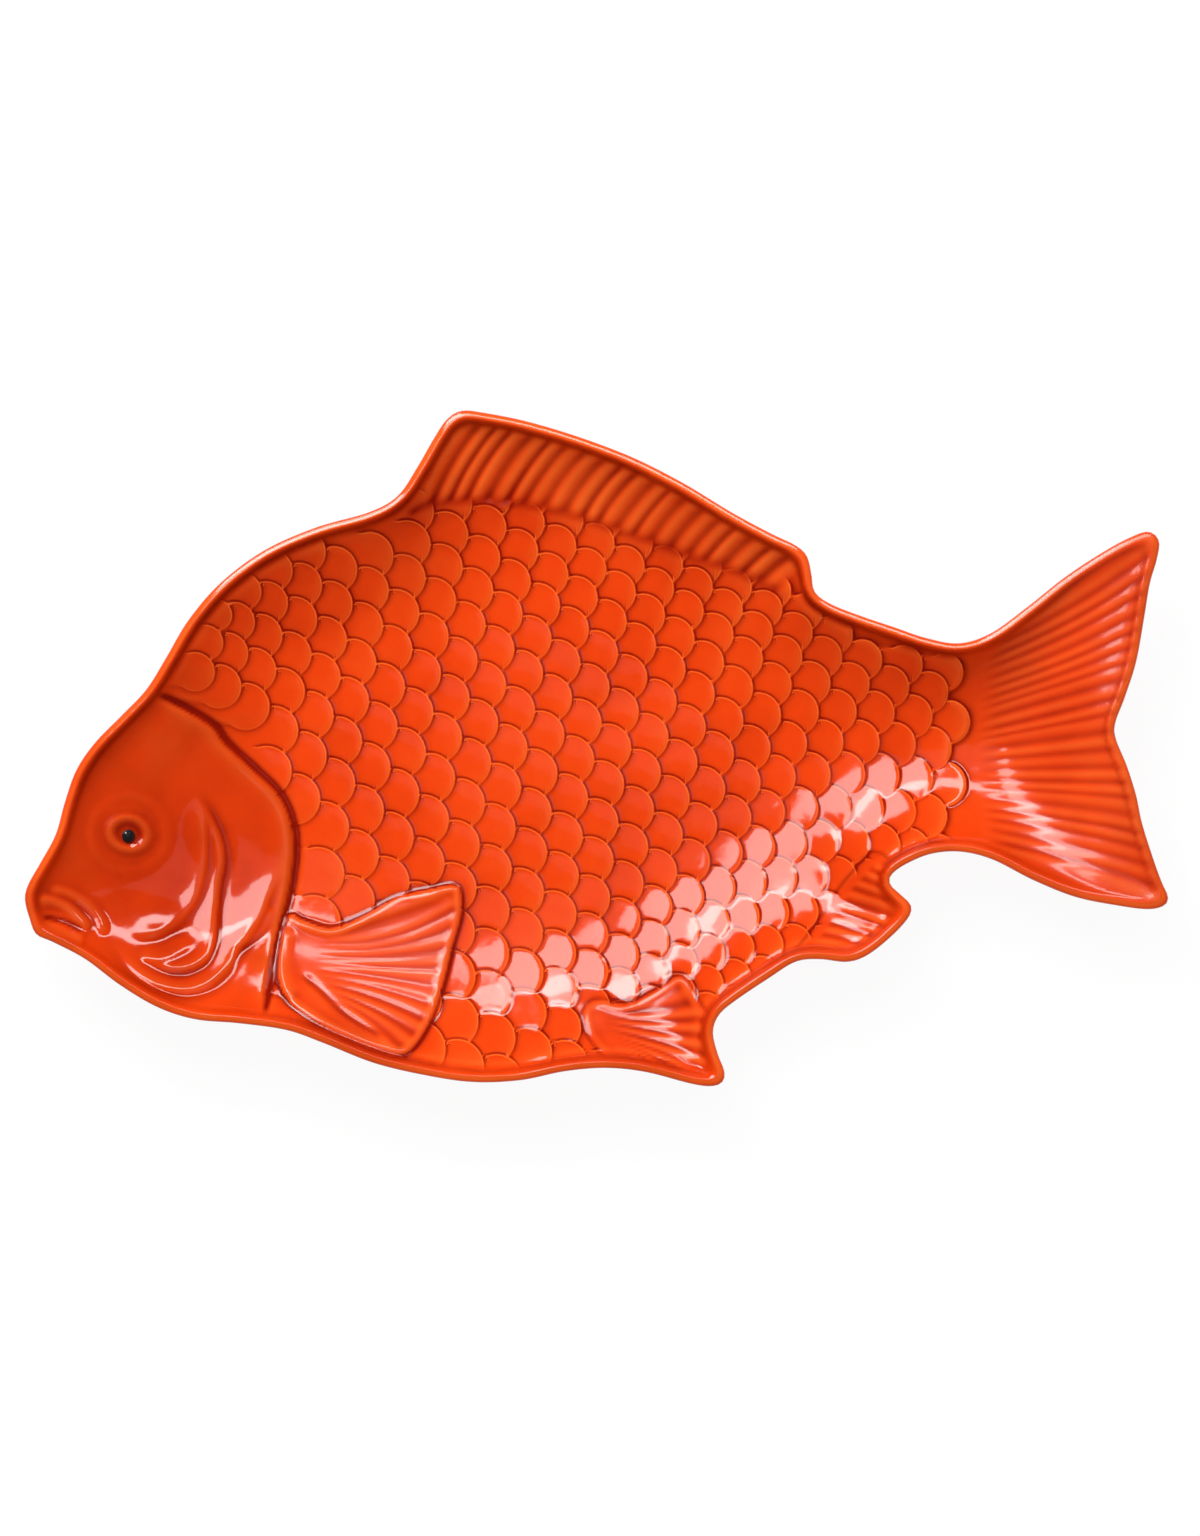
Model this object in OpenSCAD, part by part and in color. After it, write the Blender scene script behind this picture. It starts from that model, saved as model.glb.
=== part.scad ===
// Fish shaped serving platter, one moulded earthenware dish on an oval foot.
// The mouth points to -X, the dorsal fin to +Y and the dish opens upward.
// Places in plan are shares: the first of the length from the mouth, the second
// of the width, counted from the middle toward the dorsal fin.

/* [Platter] */
// Length from the mouth to the tips of the tail
fish_length = 440; // [340:5:520]
// Width from the dorsal fin to the pelvic fin
fish_width = 260; // [210:5:300]
// Depth of the dish below the rim
dish_depth = 28.5; // [24:0.5:34]
// Thickness of the floor and the walls
wall_thickness = 5.5; // [4.5:0.5:8]
// Distance from the outline over which the dish slopes down to its floor
slope_reach = 62; // [50:1:75]

/* [Rim] */
// Width of the rounded lip
lip_width = 3.6; // [2.8:0.2:5]
// Height by which the crest of the lip stands over its shoulders
lip_crown = 1.4; // [0.8:0.2:2]
// Height of the outer face of the rim
lip_height = 5; // [4:0.5:7]
// Height of the steep wall inside the lip
wall_drop = 6.8; // [5:0.2:9]
// Run of the steep wall in plan
wall_run = 3.6; // [2.6:0.2:5]

/* [Foot] */
// Length of the oval foot
foot_length = 230; // [180:5:250]
// Width of the oval foot
foot_width = 112; // [90:2:120]
// Height of the bare foot ring
foot_height = 5; // [4.5:0.5:7]
// Width of the foot ring's band
foot_band = 7; // [5:0.5:9]
// Width of the glazed seat around the foot ring, on each side
seat_margin = 1; // [0.5:0.5:2]
// Height of the floor's underside over the top of the foot ring
seat_height = 1; // [0.5:0.5:2]
// Width wiped off the ring's band on each side where it stands
foot_wipe = 0.8; // [0.4:0.2:1.2]
// Height of the wiped edge
wipe_height = 0.8; // [0.4:0.2:1.2]

/* [Scales] */
// Height of a scale's raised rear edge
scale_lift = 1.1; // [0.6:0.1:1.8]

/* [Head] */
// Height of the step at the rear edge of the gill cover
gill_step = 3; // [2:0.2:4]
// Width of the rounded folds of the gill cover and the cheek
fold_width = 5; // [3.5:0.5:7]
// Height of those folds
fold_height = 1.3; // [0.8:0.1:2]
// Radius of the crest of the ring around the eye
eye_ring_radius = 7.4; // [6:0.2:9]
// Height of the ring around the eye
eye_ring_height = 1.6; // [1:0.1:2.2]
// Radius of the glossy pupil
pupil_radius = 2.7; // [2.2:0.1:3.4]
// Height of the pupil's dome over its straight side
pupil_dome = 1.6; // [1:0.1:2]
// Height of the pupil's straight side
pupil_side = 1.4; // [1:0.1:1.8]
// Clearance around and under the pupil in its socket
socket_clearance = 0.2; // [0.1:0.05:0.3]
// Width of the lips' rolls
lip_roll_width = 3.4; // [2.6:0.2:4.4]
// Height of the lips' rolls
lip_roll_height = 1.8; // [1.2:0.2:2.6]

/* [Fins] */
// Height of the rays over the fins
ray_height = 1; // [0.6:0.1:1.6]
// Height of the pectoral fin's edge over the scales
pectoral_step = 2.2; // [1.4:0.2:3]
// Number of rays in the dorsal fin
dorsal_rays = 19; // [14:1:22]
// Number of rays in the tail
tail_rays = 18; // [12:1:20]
// Number of rays in the pectoral fin
pectoral_rays = 11; // [7:1:13]
// Number of rays in the pelvic and the anal fin
small_fin_rays = 7; // [4:1:9]

/* [Hidden] */

glaze = [0.86, 0.26, 0.07];
bare_clay = [0.86, 0.72, 0.58];
black_glaze = [0.04, 0.04, 0.05];

// Facet sizes of the meshes
span_step = 20;
grid_step = 16;
under_step = 20;
cover_margin = grid_step / 2;
cover_sink = wall_thickness / 3;
slope_step = lip_width / 20;
rim_root_share = 1.7;
patch_step = 14;
fold_step = 13;
round_sides = 16;
oval_sides = 36;

// Underside of the floor, rim and dish levels over the table
floor_level = foot_height + seat_height;
rim_height = floor_level + wall_thickness + dish_depth;
wall_end = lip_width + wall_run;
// Slope of the dish's side where it leaves the steep wall
side_power = 2.2;
side_grade = side_power * (dish_depth - wall_drop) / (slope_reach - wall_end);
// Extra thickness of the sloping side, as a share of the wall
side_extra_share = 0.35;

// The outline in shares, clockwise from the mouth
brow_shares = [
    [0, -0.223], [0.003, -0.201], [0.014, -0.168], [0.027, -0.127], [0.035, -0.079],
    [0.045, -0.032], [0.061, 0.008], [0.084, 0.048], [0.106, 0.087], [0.123, 0.133],
    [0.143, 0.19], [0.171, 0.245], [0.209, 0.293], [0.254, 0.327], [0.301, 0.35]
];
dorsal_shares = [
    [0.326, 0.374], [0.343, 0.416], [0.358, 0.46], [0.369, 0.487], [0.382, 0.5],
    [0.402, 0.497], [0.44, 0.484], [0.487, 0.46], [0.533, 0.43], [0.576, 0.393],
    [0.618, 0.35], [0.652, 0.319], [0.674, 0.301], [0.684, 0.285], [0.688, 0.259],
    [0.691, 0.232], [0.705, 0.214], [0.732, 0.196], [0.76, 0.18], [0.788, 0.164]
];
tail_shares = [
    [0.817, 0.156], [0.845, 0.171], [0.877, 0.21], [0.909, 0.253], [0.942, 0.29],
    [0.967, 0.313], [0.983, 0.321], [0.992, 0.307], [0.99, 0.279], [0.984, 0.244],
    [0.979, 0.193], [0.972, 0.128], [0.962, 0.075], [0.954, 0.039], [0.954, 0.016],
    [0.964, -0.026], [0.972, -0.069], [0.977, -0.109], [0.986, -0.158], [0.994, -0.196],
    [1, -0.22], [0.996, -0.233], [0.982, -0.238], [0.957, -0.233], [0.919, -0.22],
    [0.882, -0.195], [0.847, -0.165], [0.819, -0.153]
];
anal_shares = [
    [0.793, -0.156], [0.771, -0.171], [0.758, -0.187], [0.757, -0.201], [0.766, -0.216],
    [0.775, -0.232], [0.773, -0.25], [0.758, -0.278], [0.737, -0.306], [0.719, -0.316],
    [0.695, -0.312], [0.674, -0.316], [0.65, -0.341]
];
pelvic_shares = [
    [0.621, -0.374], [0.607, -0.395], [0.602, -0.42], [0.606, -0.451], [0.612, -0.478],
    [0.61, -0.494], [0.6, -0.5], [0.582, -0.496], [0.543, -0.479], [0.508, -0.473]
];
belly_shares = [
    [0.472, -0.478], [0.434, -0.491], [0.394, -0.494], [0.354, -0.485], [0.306, -0.466],
    [0.261, -0.436], [0.229, -0.417], [0.188, -0.407], [0.149, -0.401], [0.116, -0.383],
    [0.083, -0.35], [0.053, -0.312], [0.025, -0.287], [0.01, -0.275], [0.004, -0.251]
];

// Rear apexes of chosen scales, in four columns along each of four rows
scale_columns = [-8, -2, 4, 10];
scale_rows = [3, 7, 11, 15];
scale_net_shares = [
    [[0.194, 0.136], [0.382, 0.264], [0.583, 0.297], [0.782, 0.185]],
    [[0.171, -0.084], [0.356, 0.048], [0.552, 0.148], [0.76, 0.159]],
    [[0.16, -0.396], [0.335, -0.206], [0.524, -0.06], [0.717, 0.007]],
    [[0.173, -0.852], [0.339, -0.498], [0.51, -0.284], [0.676, -0.197]]
];
first_row = 1;
first_column = -10;
// Columns that a row may reach past its own number
column_reach = 5;
last_column = 15;
last_row = 17;
// Corners of a scale's rear edge from its front end, round the apex to the scale
// beside it, in columns and rows from the apex, on the body and toward the tail
edge_shares = [[-1, -1], [-0.66, -0.9], [0, 0], [0, 0], [-0.34, 0.41]];
tail_edge_shares = [[-1, -1], [-0.57, -0.63], [0, 0], [0, 0], [-0.2, 0.78]];
// Lift of those corners over the dish
edge_lift_shares = [0.3, 0.7, 1, 1.1, 0.3];
// Lift of the other corners, and depth of a scale's underside below the dish
scale_seat_share = 0.3;
scale_root = wall_thickness * 1.2;
middle_lift_share = 0.8;

// Outline of the area that the scales' middles lie in
scaled_area_shares = [
    [0.165, 0.048], [0.145, 0.087], [0.153, 0.161], [0.188, 0.235], [0.241, 0.285],
    [0.311, 0.316], [0.364, 0.345], [0.4, 0.343], [0.444, 0.333], [0.5, 0.31],
    [0.546, 0.278], [0.598, 0.25], [0.645, 0.23], [0.678, 0.212], [0.704, 0.173],
    [0.765, 0.151], [0.818, 0.125], [0.83, 0.087], [0.828, -0.017], [0.818, -0.099],
    [0.783, -0.123], [0.739, -0.149], [0.704, -0.222], [0.682, -0.27], [0.652, -0.299],
    [0.608, -0.343], [0.572, -0.35], [0.528, -0.373], [0.493, -0.402], [0.484, -0.439],
    [0.451, -0.464], [0.398, -0.473], [0.363, -0.464], [0.35, -0.439], [0.358, -0.38],
    [0.366, -0.291], [0.372, -0.215], [0.346, -0.22], [0.311, -0.234], [0.28, -0.257],
    [0.25, -0.242], [0.241, -0.195], [0.239, -0.121], [0.223, -0.054], [0.197, 0.005]
];

// Rear edge of the gill cover from the brow to the belly
gill_edge_shares = [
    [0.108, 0.085], [0.16, 0.033], [0.201, -0.038], [0.22, -0.07], [0.229, -0.106],
    [0.233, -0.15], [0.23, -0.195], [0.224, -0.244], [0.215, -0.312], [0.209, -0.361],
    [0.204, -0.42]
];
// Corners that close the head's patch outside the outline
head_corner_shares = [[-0.05, -0.5], [-0.05, 0.2]];
// Lines of the folds on the gill cover, the jaw and the cheek
gill_fold_shares = [
    [0.226, -0.168], [0.208, -0.239], [0.182, -0.304], [0.159, -0.347], [0.127, -0.358],
    [0.097, -0.33]
];
jaw_fold_shares = [
    [0.154, -0.093], [0.169, -0.131], [0.171, -0.168], [0.167, -0.239], [0.165, -0.29],
    [0.153, -0.322], [0.131, -0.33], [0.104, -0.312]
];
cheek_fold_shares = [
    [0.146, -0.063], [0.154, -0.1], [0.156, -0.15], [0.153, -0.204], [0.142, -0.244],
    [0.123, -0.272], [0.097, -0.282], [0.078, -0.272]
];
// Lines of the lips around the mouth's slit
upper_lip_shares = [[0.016, -0.219], [0.036, -0.233], [0.049, -0.255], [0.053, -0.27]];
lower_lip_shares = [[0.014, -0.262], [0.03, -0.278], [0.047, -0.286], [0.055, -0.284]];
eye_place_shares = [0.089, -0.13];

// Outline of the pectoral fin
pectoral_shares = [
    [0.241, -0.251], [0.263, -0.269], [0.28, -0.261], [0.315, -0.242], [0.346, -0.224],
    [0.376, -0.205], [0.382, -0.214], [0.379, -0.254], [0.376, -0.291], [0.37, -0.328],
    [0.361, -0.387], [0.353, -0.417], [0.341, -0.439], [0.328, -0.454], [0.315, -0.457],
    [0.293, -0.447], [0.267, -0.424], [0.25, -0.395], [0.235, -0.35], [0.226, -0.299],
    [0.229, -0.257]
];

// Heights of a ray's crest, of the valley beside it and of both at the root
ray_crest_share = 1.3;
ray_valley_share = 0.3;
ray_root_share = 0.4;
// Where the rays of each fin start and end
dorsal_root_shares = [
    [0.346, 0.356], [0.398, 0.364], [0.468, 0.345], [0.529, 0.313], [0.59, 0.276], [0.643, 0.245]
];
dorsal_tip_shares = [
    [0.386, 0.473], [0.433, 0.465], [0.494, 0.436], [0.556, 0.394], [0.621, 0.334], [0.672, 0.283]
];
tail_root_shares = [[0.85, 0.145], [0.842, 0.06], [0.84, 0], [0.842, -0.06], [0.85, -0.14]];
tail_tip_shares = [
    [0.976, 0.283], [0.967, 0.17], [0.955, 0.085], [0.943, 0.028], [0.955, -0.03],
    [0.969, -0.12], [0.984, -0.212]
];
pectoral_root_shares = [[0.272, -0.274], [0.268, -0.3], [0.262, -0.325], [0.262, -0.36], [0.268, -0.395]];
pectoral_tip_shares = [
    [0.374, -0.22], [0.371, -0.29], [0.36, -0.36], [0.348, -0.41], [0.325, -0.445],
    [0.29, -0.433]
];
pelvic_root_shares = [[0.516, -0.39], [0.512, -0.41], [0.516, -0.445]];
pelvic_tip_shares = [[0.593, -0.392], [0.598, -0.44], [0.602, -0.482], [0.572, -0.484]];
anal_root_shares = [[0.737, -0.178], [0.722, -0.217], [0.704, -0.25], [0.694, -0.29]];
anal_tip_shares = [[0.766, -0.238], [0.752, -0.269], [0.735, -0.294], [0.712, -0.305]];

// A plan place for a pair of shares
function at(share) = [(share[0] - 0.5) * fish_length, share[1] * fish_width];

// Place on a smooth curve through four neighbours, for t from 0 to 1
function curve_at(a, b, c, d, t) =
    b + t * ((c - a) / 2 + t * (a - 2.5 * b + 2 * c - d / 2 + t * (1.5 * (b - c) + (d - a) / 2)));

// Even places on the smooth curve through open points
function along(points, share) =
    let (
        last = len(points) - 1,
        k = min(floor(share * last), last - 1),
        a = points[max(k - 1, 0)],
        d = points[min(k + 2, last)]
    )
    curve_at(a, points[k], points[k + 1], d, share * last - k);

// Closed smooth curve through points, with a place about every step
function ring_curve(points, step) =
    let (n = len(points))
    [for (k = [0 : n - 1])
        let (
            b = points[k],
            c = points[(k + 1) % n],
            parts = max(1, ceil(norm(c - b) / step))
        )
        for (m = [0 : parts - 1])
            curve_at(points[(k + n - 1) % n], b, c, points[(k + 2) % n], m / parts)];

outline_shares = concat(
    brow_shares, dorsal_shares, tail_shares, anal_shares, pelvic_shares, belly_shares
);
outline = [for (share = outline_shares) at(share)];
rim_line = ring_curve(outline, span_step);

function total(list) = [for (item = list) 1] * list;

// Part of the outline's pull on a place that comes from one edge of it
function edge_pull(p, a, b) =
    let (
        u = (b - a) / norm(b - a),
        s1 = (a - p) * u,
        s2 = (b - p) * u,
        off = (p - a) - ((p - a) * u) * u,
        d2 = off * off
    )
    d2 < 0.000001 * (s1 * s1 + s2 * s2)
        ? abs(1 / (s1 * s1) - 1 / (s2 * s2)) / 2
        : (s2 / sqrt(d2 + s2 * s2) - s1 / sqrt(d2 + s1 * s1)) / d2;

// Smooth distance to the outline, the true one beside a straight edge
function inset(p) =
    let (n = len(outline))
    sqrt(2 / total([for (k = [0 : n - 1]) edge_pull(p, outline[k], outline[(k + 1) % n])]));

function inside(p, ring) =
    let (n = len(ring))
    total([for (k = [0 : n - 1])
        let (a = ring[k], b = ring[(k + 1) % n])
        (a.y > p.y) != (b.y > p.y) && p.x < a.x + (p.y - a.y) * (b.x - a.x) / (b.y - a.y) ? 1 : 0]) % 2 == 1;

// The same distance, negative outside the outline
function signed_inset(p) = inside(p, outline) ? inset(p) : -inset(p);

// Drop of the dish below the rim at an inset
function side_left(d) = 1 - min(1, max(0, (d - wall_end) / (slope_reach - wall_end)));
function drop(d) =
    d < wall_end
        ? wall_drop + (d - wall_end) * side_grade
        : wall_drop + (dish_depth - wall_drop) * (1 - pow(side_left(d), side_power));
function ease(x) = let (t = min(1, max(0, x))) t * t * (3 - 2 * t);

// Share of the drop that is left at a place, as the tail rises to its rear edge
tail_rise_start = 0.86;
tail_rise_end = 0.955;
tail_drop_share = 0.35;
function drop_share(p) =
    let (risen = ease((p.x / fish_length + 0.5 - tail_rise_start) / (tail_rise_end - tail_rise_start)))
    1 - (1 - tail_drop_share) * risen;

// Levels of the dish's surface and underside at a place and its inset
function top_level(p, d) = rim_height - drop(d) * drop_share(p);
function under_level(p, d) =
    max(floor_level, top_level(p, d) - wall_thickness * (1 + side_extra_share * side_left(d)));

function level_at(p) = top_level(p, inset(p));

// Closed block between two levels over a grid of plan places
module grid_block(places, tops, lows) {
    nx = len(places);
    ny = len(places[0]);
    side = [nx * ny, nx * ny, nx * ny];
    function index(i, j) = i * ny + j;
    points = concat(
        [for (i = [0 : nx - 1], j = [0 : ny - 1]) [places[i][j].x, places[i][j].y, tops[i][j]]],
        [for (i = [0 : nx - 1], j = [0 : ny - 1]) [places[i][j].x, places[i][j].y, lows[i][j]]]
    );
    cells = [for (i = [0 : nx - 2], j = [0 : ny - 2])
        [index(i, j), index(i, j + 1), index(i + 1, j + 1), index(i + 1, j)]];
    edge = concat(
        [for (i = [0 : nx - 2]) index(i, 0)],
        [for (j = [0 : ny - 2]) index(nx - 1, j)],
        [for (i = [nx - 1 : -1 : 1]) index(i, ny - 1)],
        [for (j = [ny - 1 : -1 : 1]) index(0, j)]
    );
    faces = concat(
        [for (c = cells) each [[c[0], c[1], c[2]], [c[0], c[2], c[3]]]],
        [for (c = cells) each [[c[2], c[1], c[0]] + side, [c[3], c[2], c[0]] + side]],
        [for (k = [0 : len(edge) - 1])
            let (a = edge[k], b = edge[(k + 1) % len(edge)])
            each [[a, b, b + side[0]], [a, b + side[0], a + side[0]]]]
    );
    polyhedron(points, faces);
}

// Even places over a rectangle, in columns along its length
function plan_grid(low, high, step) =
    [for (x = spread(low.x, high.x, step)) [for (y = spread(low.y, high.y, step)) [x, y]]];

// Solid around a set of points
module skin(points) {
    hull() polyhedron(points, [[for (k = [0 : len(points) - 1]) k]]);
}

// Block of the outline's own shape, brought inward so that it ends within the lip
module outline_block(inward) {
    linear_extrude(rim_height + lip_crown)
        offset(delta = -inward) polygon(rim_line);
}

// Place at an inset, found from a place near it by steps along the field's slope
function settled(p, goal, steps = 2) =
    steps == 0
        ? p
        : let (
            d = inset(p),
            slope = [inset(p + [slope_step, 0]) - d, inset(p + [0, slope_step]) - d] / slope_step
        )
        settled(p + slope * (goal - d) / (slope * slope), goal, steps - 1);

// Places at growing insets, each found from the one before
function inward_places(p, goals, k = 0) =
    k == len(goals)
        ? []
        : let (q = settled(p, goals[k])) concat([q], inward_places(q, goals, k + 1));

// Insets of the rim's section from the crest of the lip to the root, and depths
// below the rim from its outer foot round to the root's underside
rim_root = wall_end + wall_run / 2;
rim_insets = [lip_width / 2, lip_width, wall_end, rim_root];
function rim_depths(share) = [
    lip_crown + lip_height, lip_crown, 0, lip_crown, wall_drop * share, (wall_drop + wall_run) * share,
    drop(rim_root) * share + wall_thickness * rim_root_share
];

// Cross section of the rim at a place of the rim line, from its outer foot
function rim_section(k) =
    let (
        n = len(rim_line),
        run = rim_line[(k + 1) % n] - rim_line[(k + n - 1) % n],
        inward = [run.y, -run.x] / norm(run),
        p = rim_line[k],
        places = inward_places(p + inward * lip_width / 4, rim_insets),
        plan = concat([p, p], places, [places[len(places) - 1]])
    )
    [for (m = [0 : len(plan) - 1]) [plan[m].x, plan[m].y, rim_height - rim_depths(drop_share(plan[m]))[m]]];

// The lip and the steep wall inside it, one closed ring
module rim() {
    n = len(rim_line);
    m = len(rim_depths(1));
    polyhedron(
        [for (k = [0 : n - 1]) each rim_section(k)],
        [for (k = [0 : n - 1], i = [0 : m - 1])
            let (
                a = k * m + i,
                b = (k + 1) % n * m + i,
                c = (k + 1) % n * m + (i + 1) % m,
                d = k * m + (i + 1) % m
            )
            each [[a, b, c], [a, c, d]]]
    );
}

// Even places from low to high, about a step apart
function spread(low, high, step) =
    let (n = ceil((high - low) / step))
    [for (k = [0 : n]) low + (high - low) * k / n];

head_ring = [for (share = concat(gill_edge_shares, head_corner_shares)) at(share)];
pectoral_ring = [for (share = pectoral_shares) at(share)];
scaled_ring = [for (share = scaled_area_shares) at(share)];

// Outline of a fin between its root line and its tip line
function fin_ring(roots, tips) =
    [for (share = concat(roots, [for (k = [len(tips) - 1 : -1 : 0]) tips[k]])) at(share)];
cover_rings = [
    scaled_ring, head_ring, pectoral_ring,
    fin_ring(dorsal_root_shares, dorsal_tip_shares), fin_ring(tail_root_shares, tail_tip_shares)
];

// Whether scales or a raised part cover the dish at a place and around it
function covered_at(p) = max([for (ring = cover_rings) inside(p, ring) ? 1 : 0]) == 1;
function covered(p) =
    covered_at(p + [cover_margin, 0]) && covered_at(p - [cover_margin, 0])
    && covered_at(p + [0, cover_margin]) && covered_at(p - [0, cover_margin]);

plan_corner = [fish_length, fish_width] / 2;

// Top of the dish itself, which lies lower where something covers it
function dish_level(p) = top_level(p, signed_inset(p)) - (covered(p) ? cover_sink : 0);

// The floor and the sloping sides of the dish, down to the table
module dish() {
    plan = plan_grid(-plan_corner, plan_corner, grid_step);
    grid_block(plan, [for (row = plan) [for (p = row) dish_level(p)]], [for (row = plan) [for (p = row) 0]]);
}

// Everything that the underside and the rim leave to the dish and its reliefs
module dish_space() {
    plan = plan_grid(-plan_corner, plan_corner, under_step);
    grid_block(plan,
        [for (row = plan) [for (p = row) 2 * rim_height]],
        [for (row = plan) [for (p = row) under_level(p, signed_inset(p))]]);
}

// Raised part of the dish inside a plan outline
module relief(ring, step) {
    low = [for (k = [0, 1]) max(min([for (p = ring) p[k]]) - wall_thickness, -plan_corner[k])];
    high = [for (k = [0, 1]) max([for (p = ring) p[k]]) + wall_thickness];
    plan = plan_grid(low, high, patch_step);
    levels = [for (row = plan) [for (p = row)
        let (d = signed_inset(p)) top_level(p, d) + step * relief_share(d)]];
    intersection() {
        grid_block(plan, levels, [for (row = levels) [for (level = row) 0]]);
        linear_extrude(rim_height) polygon(ring);
    }
}

// Share of a raised part's step at an inset, so that it fades toward the rim
relief_fade = slope_reach / 3;
relief_edge_share = 0.3;
function relief_share(d) = relief_edge_share + (1 - relief_edge_share) * ease((d - lip_width) / relief_fade);

// Level of a raised part of the dish
function raised(p, step) = let (d = inset(p)) top_level(p, d) + step * relief_share(d);

// A rounded ridge along points, over a part raised by step
module ridge(points, width, height, step) {
    last = len(points) - 1;
    sections = [for (k = [0 : last])
        let (
            p = points[k],
            run = points[min(k + 1, last)] - points[max(k - 1, 0)],
            across = [run.y, -run.x] / norm(run) * width / 2,
            level = raised(p, step),
            end_share = min(1, 0.3 + 2 * min(k, last - k) / last),
            crest = level + height * end_share,
            root = level - wall_thickness / 4
        )
        [
            [p.x - across.x, p.y - across.y, root],
            [p.x, p.y, crest],
            [p.x + across.x, p.y + across.y, root]
        ]];
    for (k = [0 : last - 1])
        skin(concat(sections[k], sections[k + 1]));
}

// A fold of the head along a line given in shares
module fold(line_shares, width, height) {
    line = [for (share = line_shares) at(share)];
    parts = ceil(len(line) * norm(line[1] - line[0]) / fold_step);
    ridge([for (k = [0 : parts]) along(line, k / parts)], width, height, gill_step);
}

// A fin as a fan of rays from its root line to its tip line, over a part raised by step
module fin(root_shares, tip_shares, count, parts, step) {
    roots = [for (share = root_shares) at(share)];
    tips = [for (share = tip_shares) at(share)];
    plan = [for (k = [0 : 2 * count])
        let (start = along(roots, k / 2 / count), end = along(tips, k / 2 / count))
        [for (m = [0 : parts]) start + (end - start) * m / parts]];
    bases = [for (row = plan) [for (p = row) raised(p, step)]];
    tops = [for (k = [0 : 2 * count])
        [for (m = [0 : parts]) bases[k][m] + ray_height * (k % 2 == 1 ? ray_crest_share : ray_valley_share)
            * (m == 0 ? ray_root_share : 1)]];
    grid_block(plan, tops, [for (row = bases) [for (level = row) level - wall_thickness / 2]]);
}

// Weight of each of four chosen places in the smooth curve through them
function weights(places, t) =
    [for (k = [0 : len(places) - 1])
        product([for (m = [0 : len(places) - 1]) m == k ? 1 : (t - places[m]) / (places[k] - places[m])])];
function product(list, k = 0) = k == len(list) ? 1 : list[k] * product(list, k + 1);

// Rear apex of the scale in a column and a row
function apex(column, row) =
    let (
        across = weights(scale_columns, column),
        down = weights(scale_rows, row)
    )
    at(total([for (j = [0 : 3]) down[j] * total([for (i = [0 : 3]) across[i] * scale_net_shares[j][i]])]));

// Place of a corner of a scale's rear edge, counted from its front end
function edge_place(column, row, k) =
    k == 2
        ? edge_place(column, row - 1, 4)
        : let (
            tail_share = ease((apex(column, row).x / fish_length + 0.5 - 0.6) / 0.22),
            share = edge_shares[k] + (tail_edge_shares[k] - edge_shares[k]) * tail_share
        )
        apex(column + share[0], row + share[1]);

// One scale, with its rear edge raised over the scales behind it
module scale_cell(column, row) {
    plan = concat(
        [for (k = [0 : 4]) edge_place(column, row, k)],
        [edge_place(column, row + 1, 1), edge_place(column - 1, row, 3), edge_place(column - 1, row, 2)]
    );
    n = len(plan);
    middle = apex(column - 0.5, row - 0.35);
    levels = [for (q = concat(plan, [middle])) level_at(q)];
    points = concat(
        [for (k = [0 : n - 1]) [plan[k].x, plan[k].y, levels[k] + scale_lift * scale_seat_share]],
        [for (k = [0 : n - 1]) [plan[k].x, plan[k].y, levels[k] - scale_root]],
        [for (k = [1 : 3]) [plan[k].x, plan[k].y, levels[k] + scale_lift * edge_lift_shares[k]]],
        [for (lift = [scale_lift * middle_lift_share, -scale_root]) [middle.x, middle.y, levels[n] + lift]]
    );
    top = [for (k = [0 : n - 1]) k >= 1 && k <= 3 ? 2 * n + k - 1 : k];
    next = [for (k = [0 : n - 1]) (k + 1) % n];
    last = len(points) - 1;
    polyhedron(points, concat(
        [for (k = [0 : n - 1]) [last - 1, top[k], top[next[k]]]],
        [for (k = [0 : 2]) [k, k + 1, top[k + 1]]],
        [for (k = [1 : 3]) [k, top[next[k]], top[k]]],
        [for (k = [0 : n - 1]) each [[k, n + k, n + next[k]], [k, n + next[k], next[k]]]],
        [for (k = [0 : n - 1]) [last, n + next[k], n + k]]
    ));
}

module scales() {
    for (row = [first_row : last_row], column = [first_column : last_column])
        if (column <= row + column_reach && inside(apex(column - 0.5, row - 0.35), scaled_ring))
            scale_cell(column, row);
}

// Places the eye's parts on the tilted surface of the head
module on_eye() {
    p = at(eye_place_shares);
    reach = eye_ring_radius;
    level = raised(p, gill_step);
    grade_x = (raised(p + [reach, 0], gill_step) - raised(p - [reach, 0], gill_step)) / (2 * reach);
    grade_y = (raised(p + [0, reach], gill_step) - raised(p - [0, reach], gill_step)) / (2 * reach);
    translate([p.x, p.y, level])
        rotate([atan(grade_y), -atan(grade_x), 0])
            children();
}

// Ring around the eye with a low mound that carries the pupil
module eye_ring() {
    crest = eye_ring_radius;
    rotate_extrude($fn = round_sides)
        polygon([
            [0, -wall_thickness / 2], [crest * 1.35, -wall_thickness / 2], [crest, eye_ring_height],
            [crest * 0.65, eye_ring_height * 0.3], [0, eye_ring_height * 0.3]
        ]);
}

// Depth of the pupil's socket below the head's surface
socket_depth = pupil_side - eye_ring_height * 0.3 + socket_clearance;

module eye_socket() {
    translate([0, 0, -socket_depth])
        cylinder(h = rim_height, r = pupil_radius + socket_clearance, $fn = round_sides);
}

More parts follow.
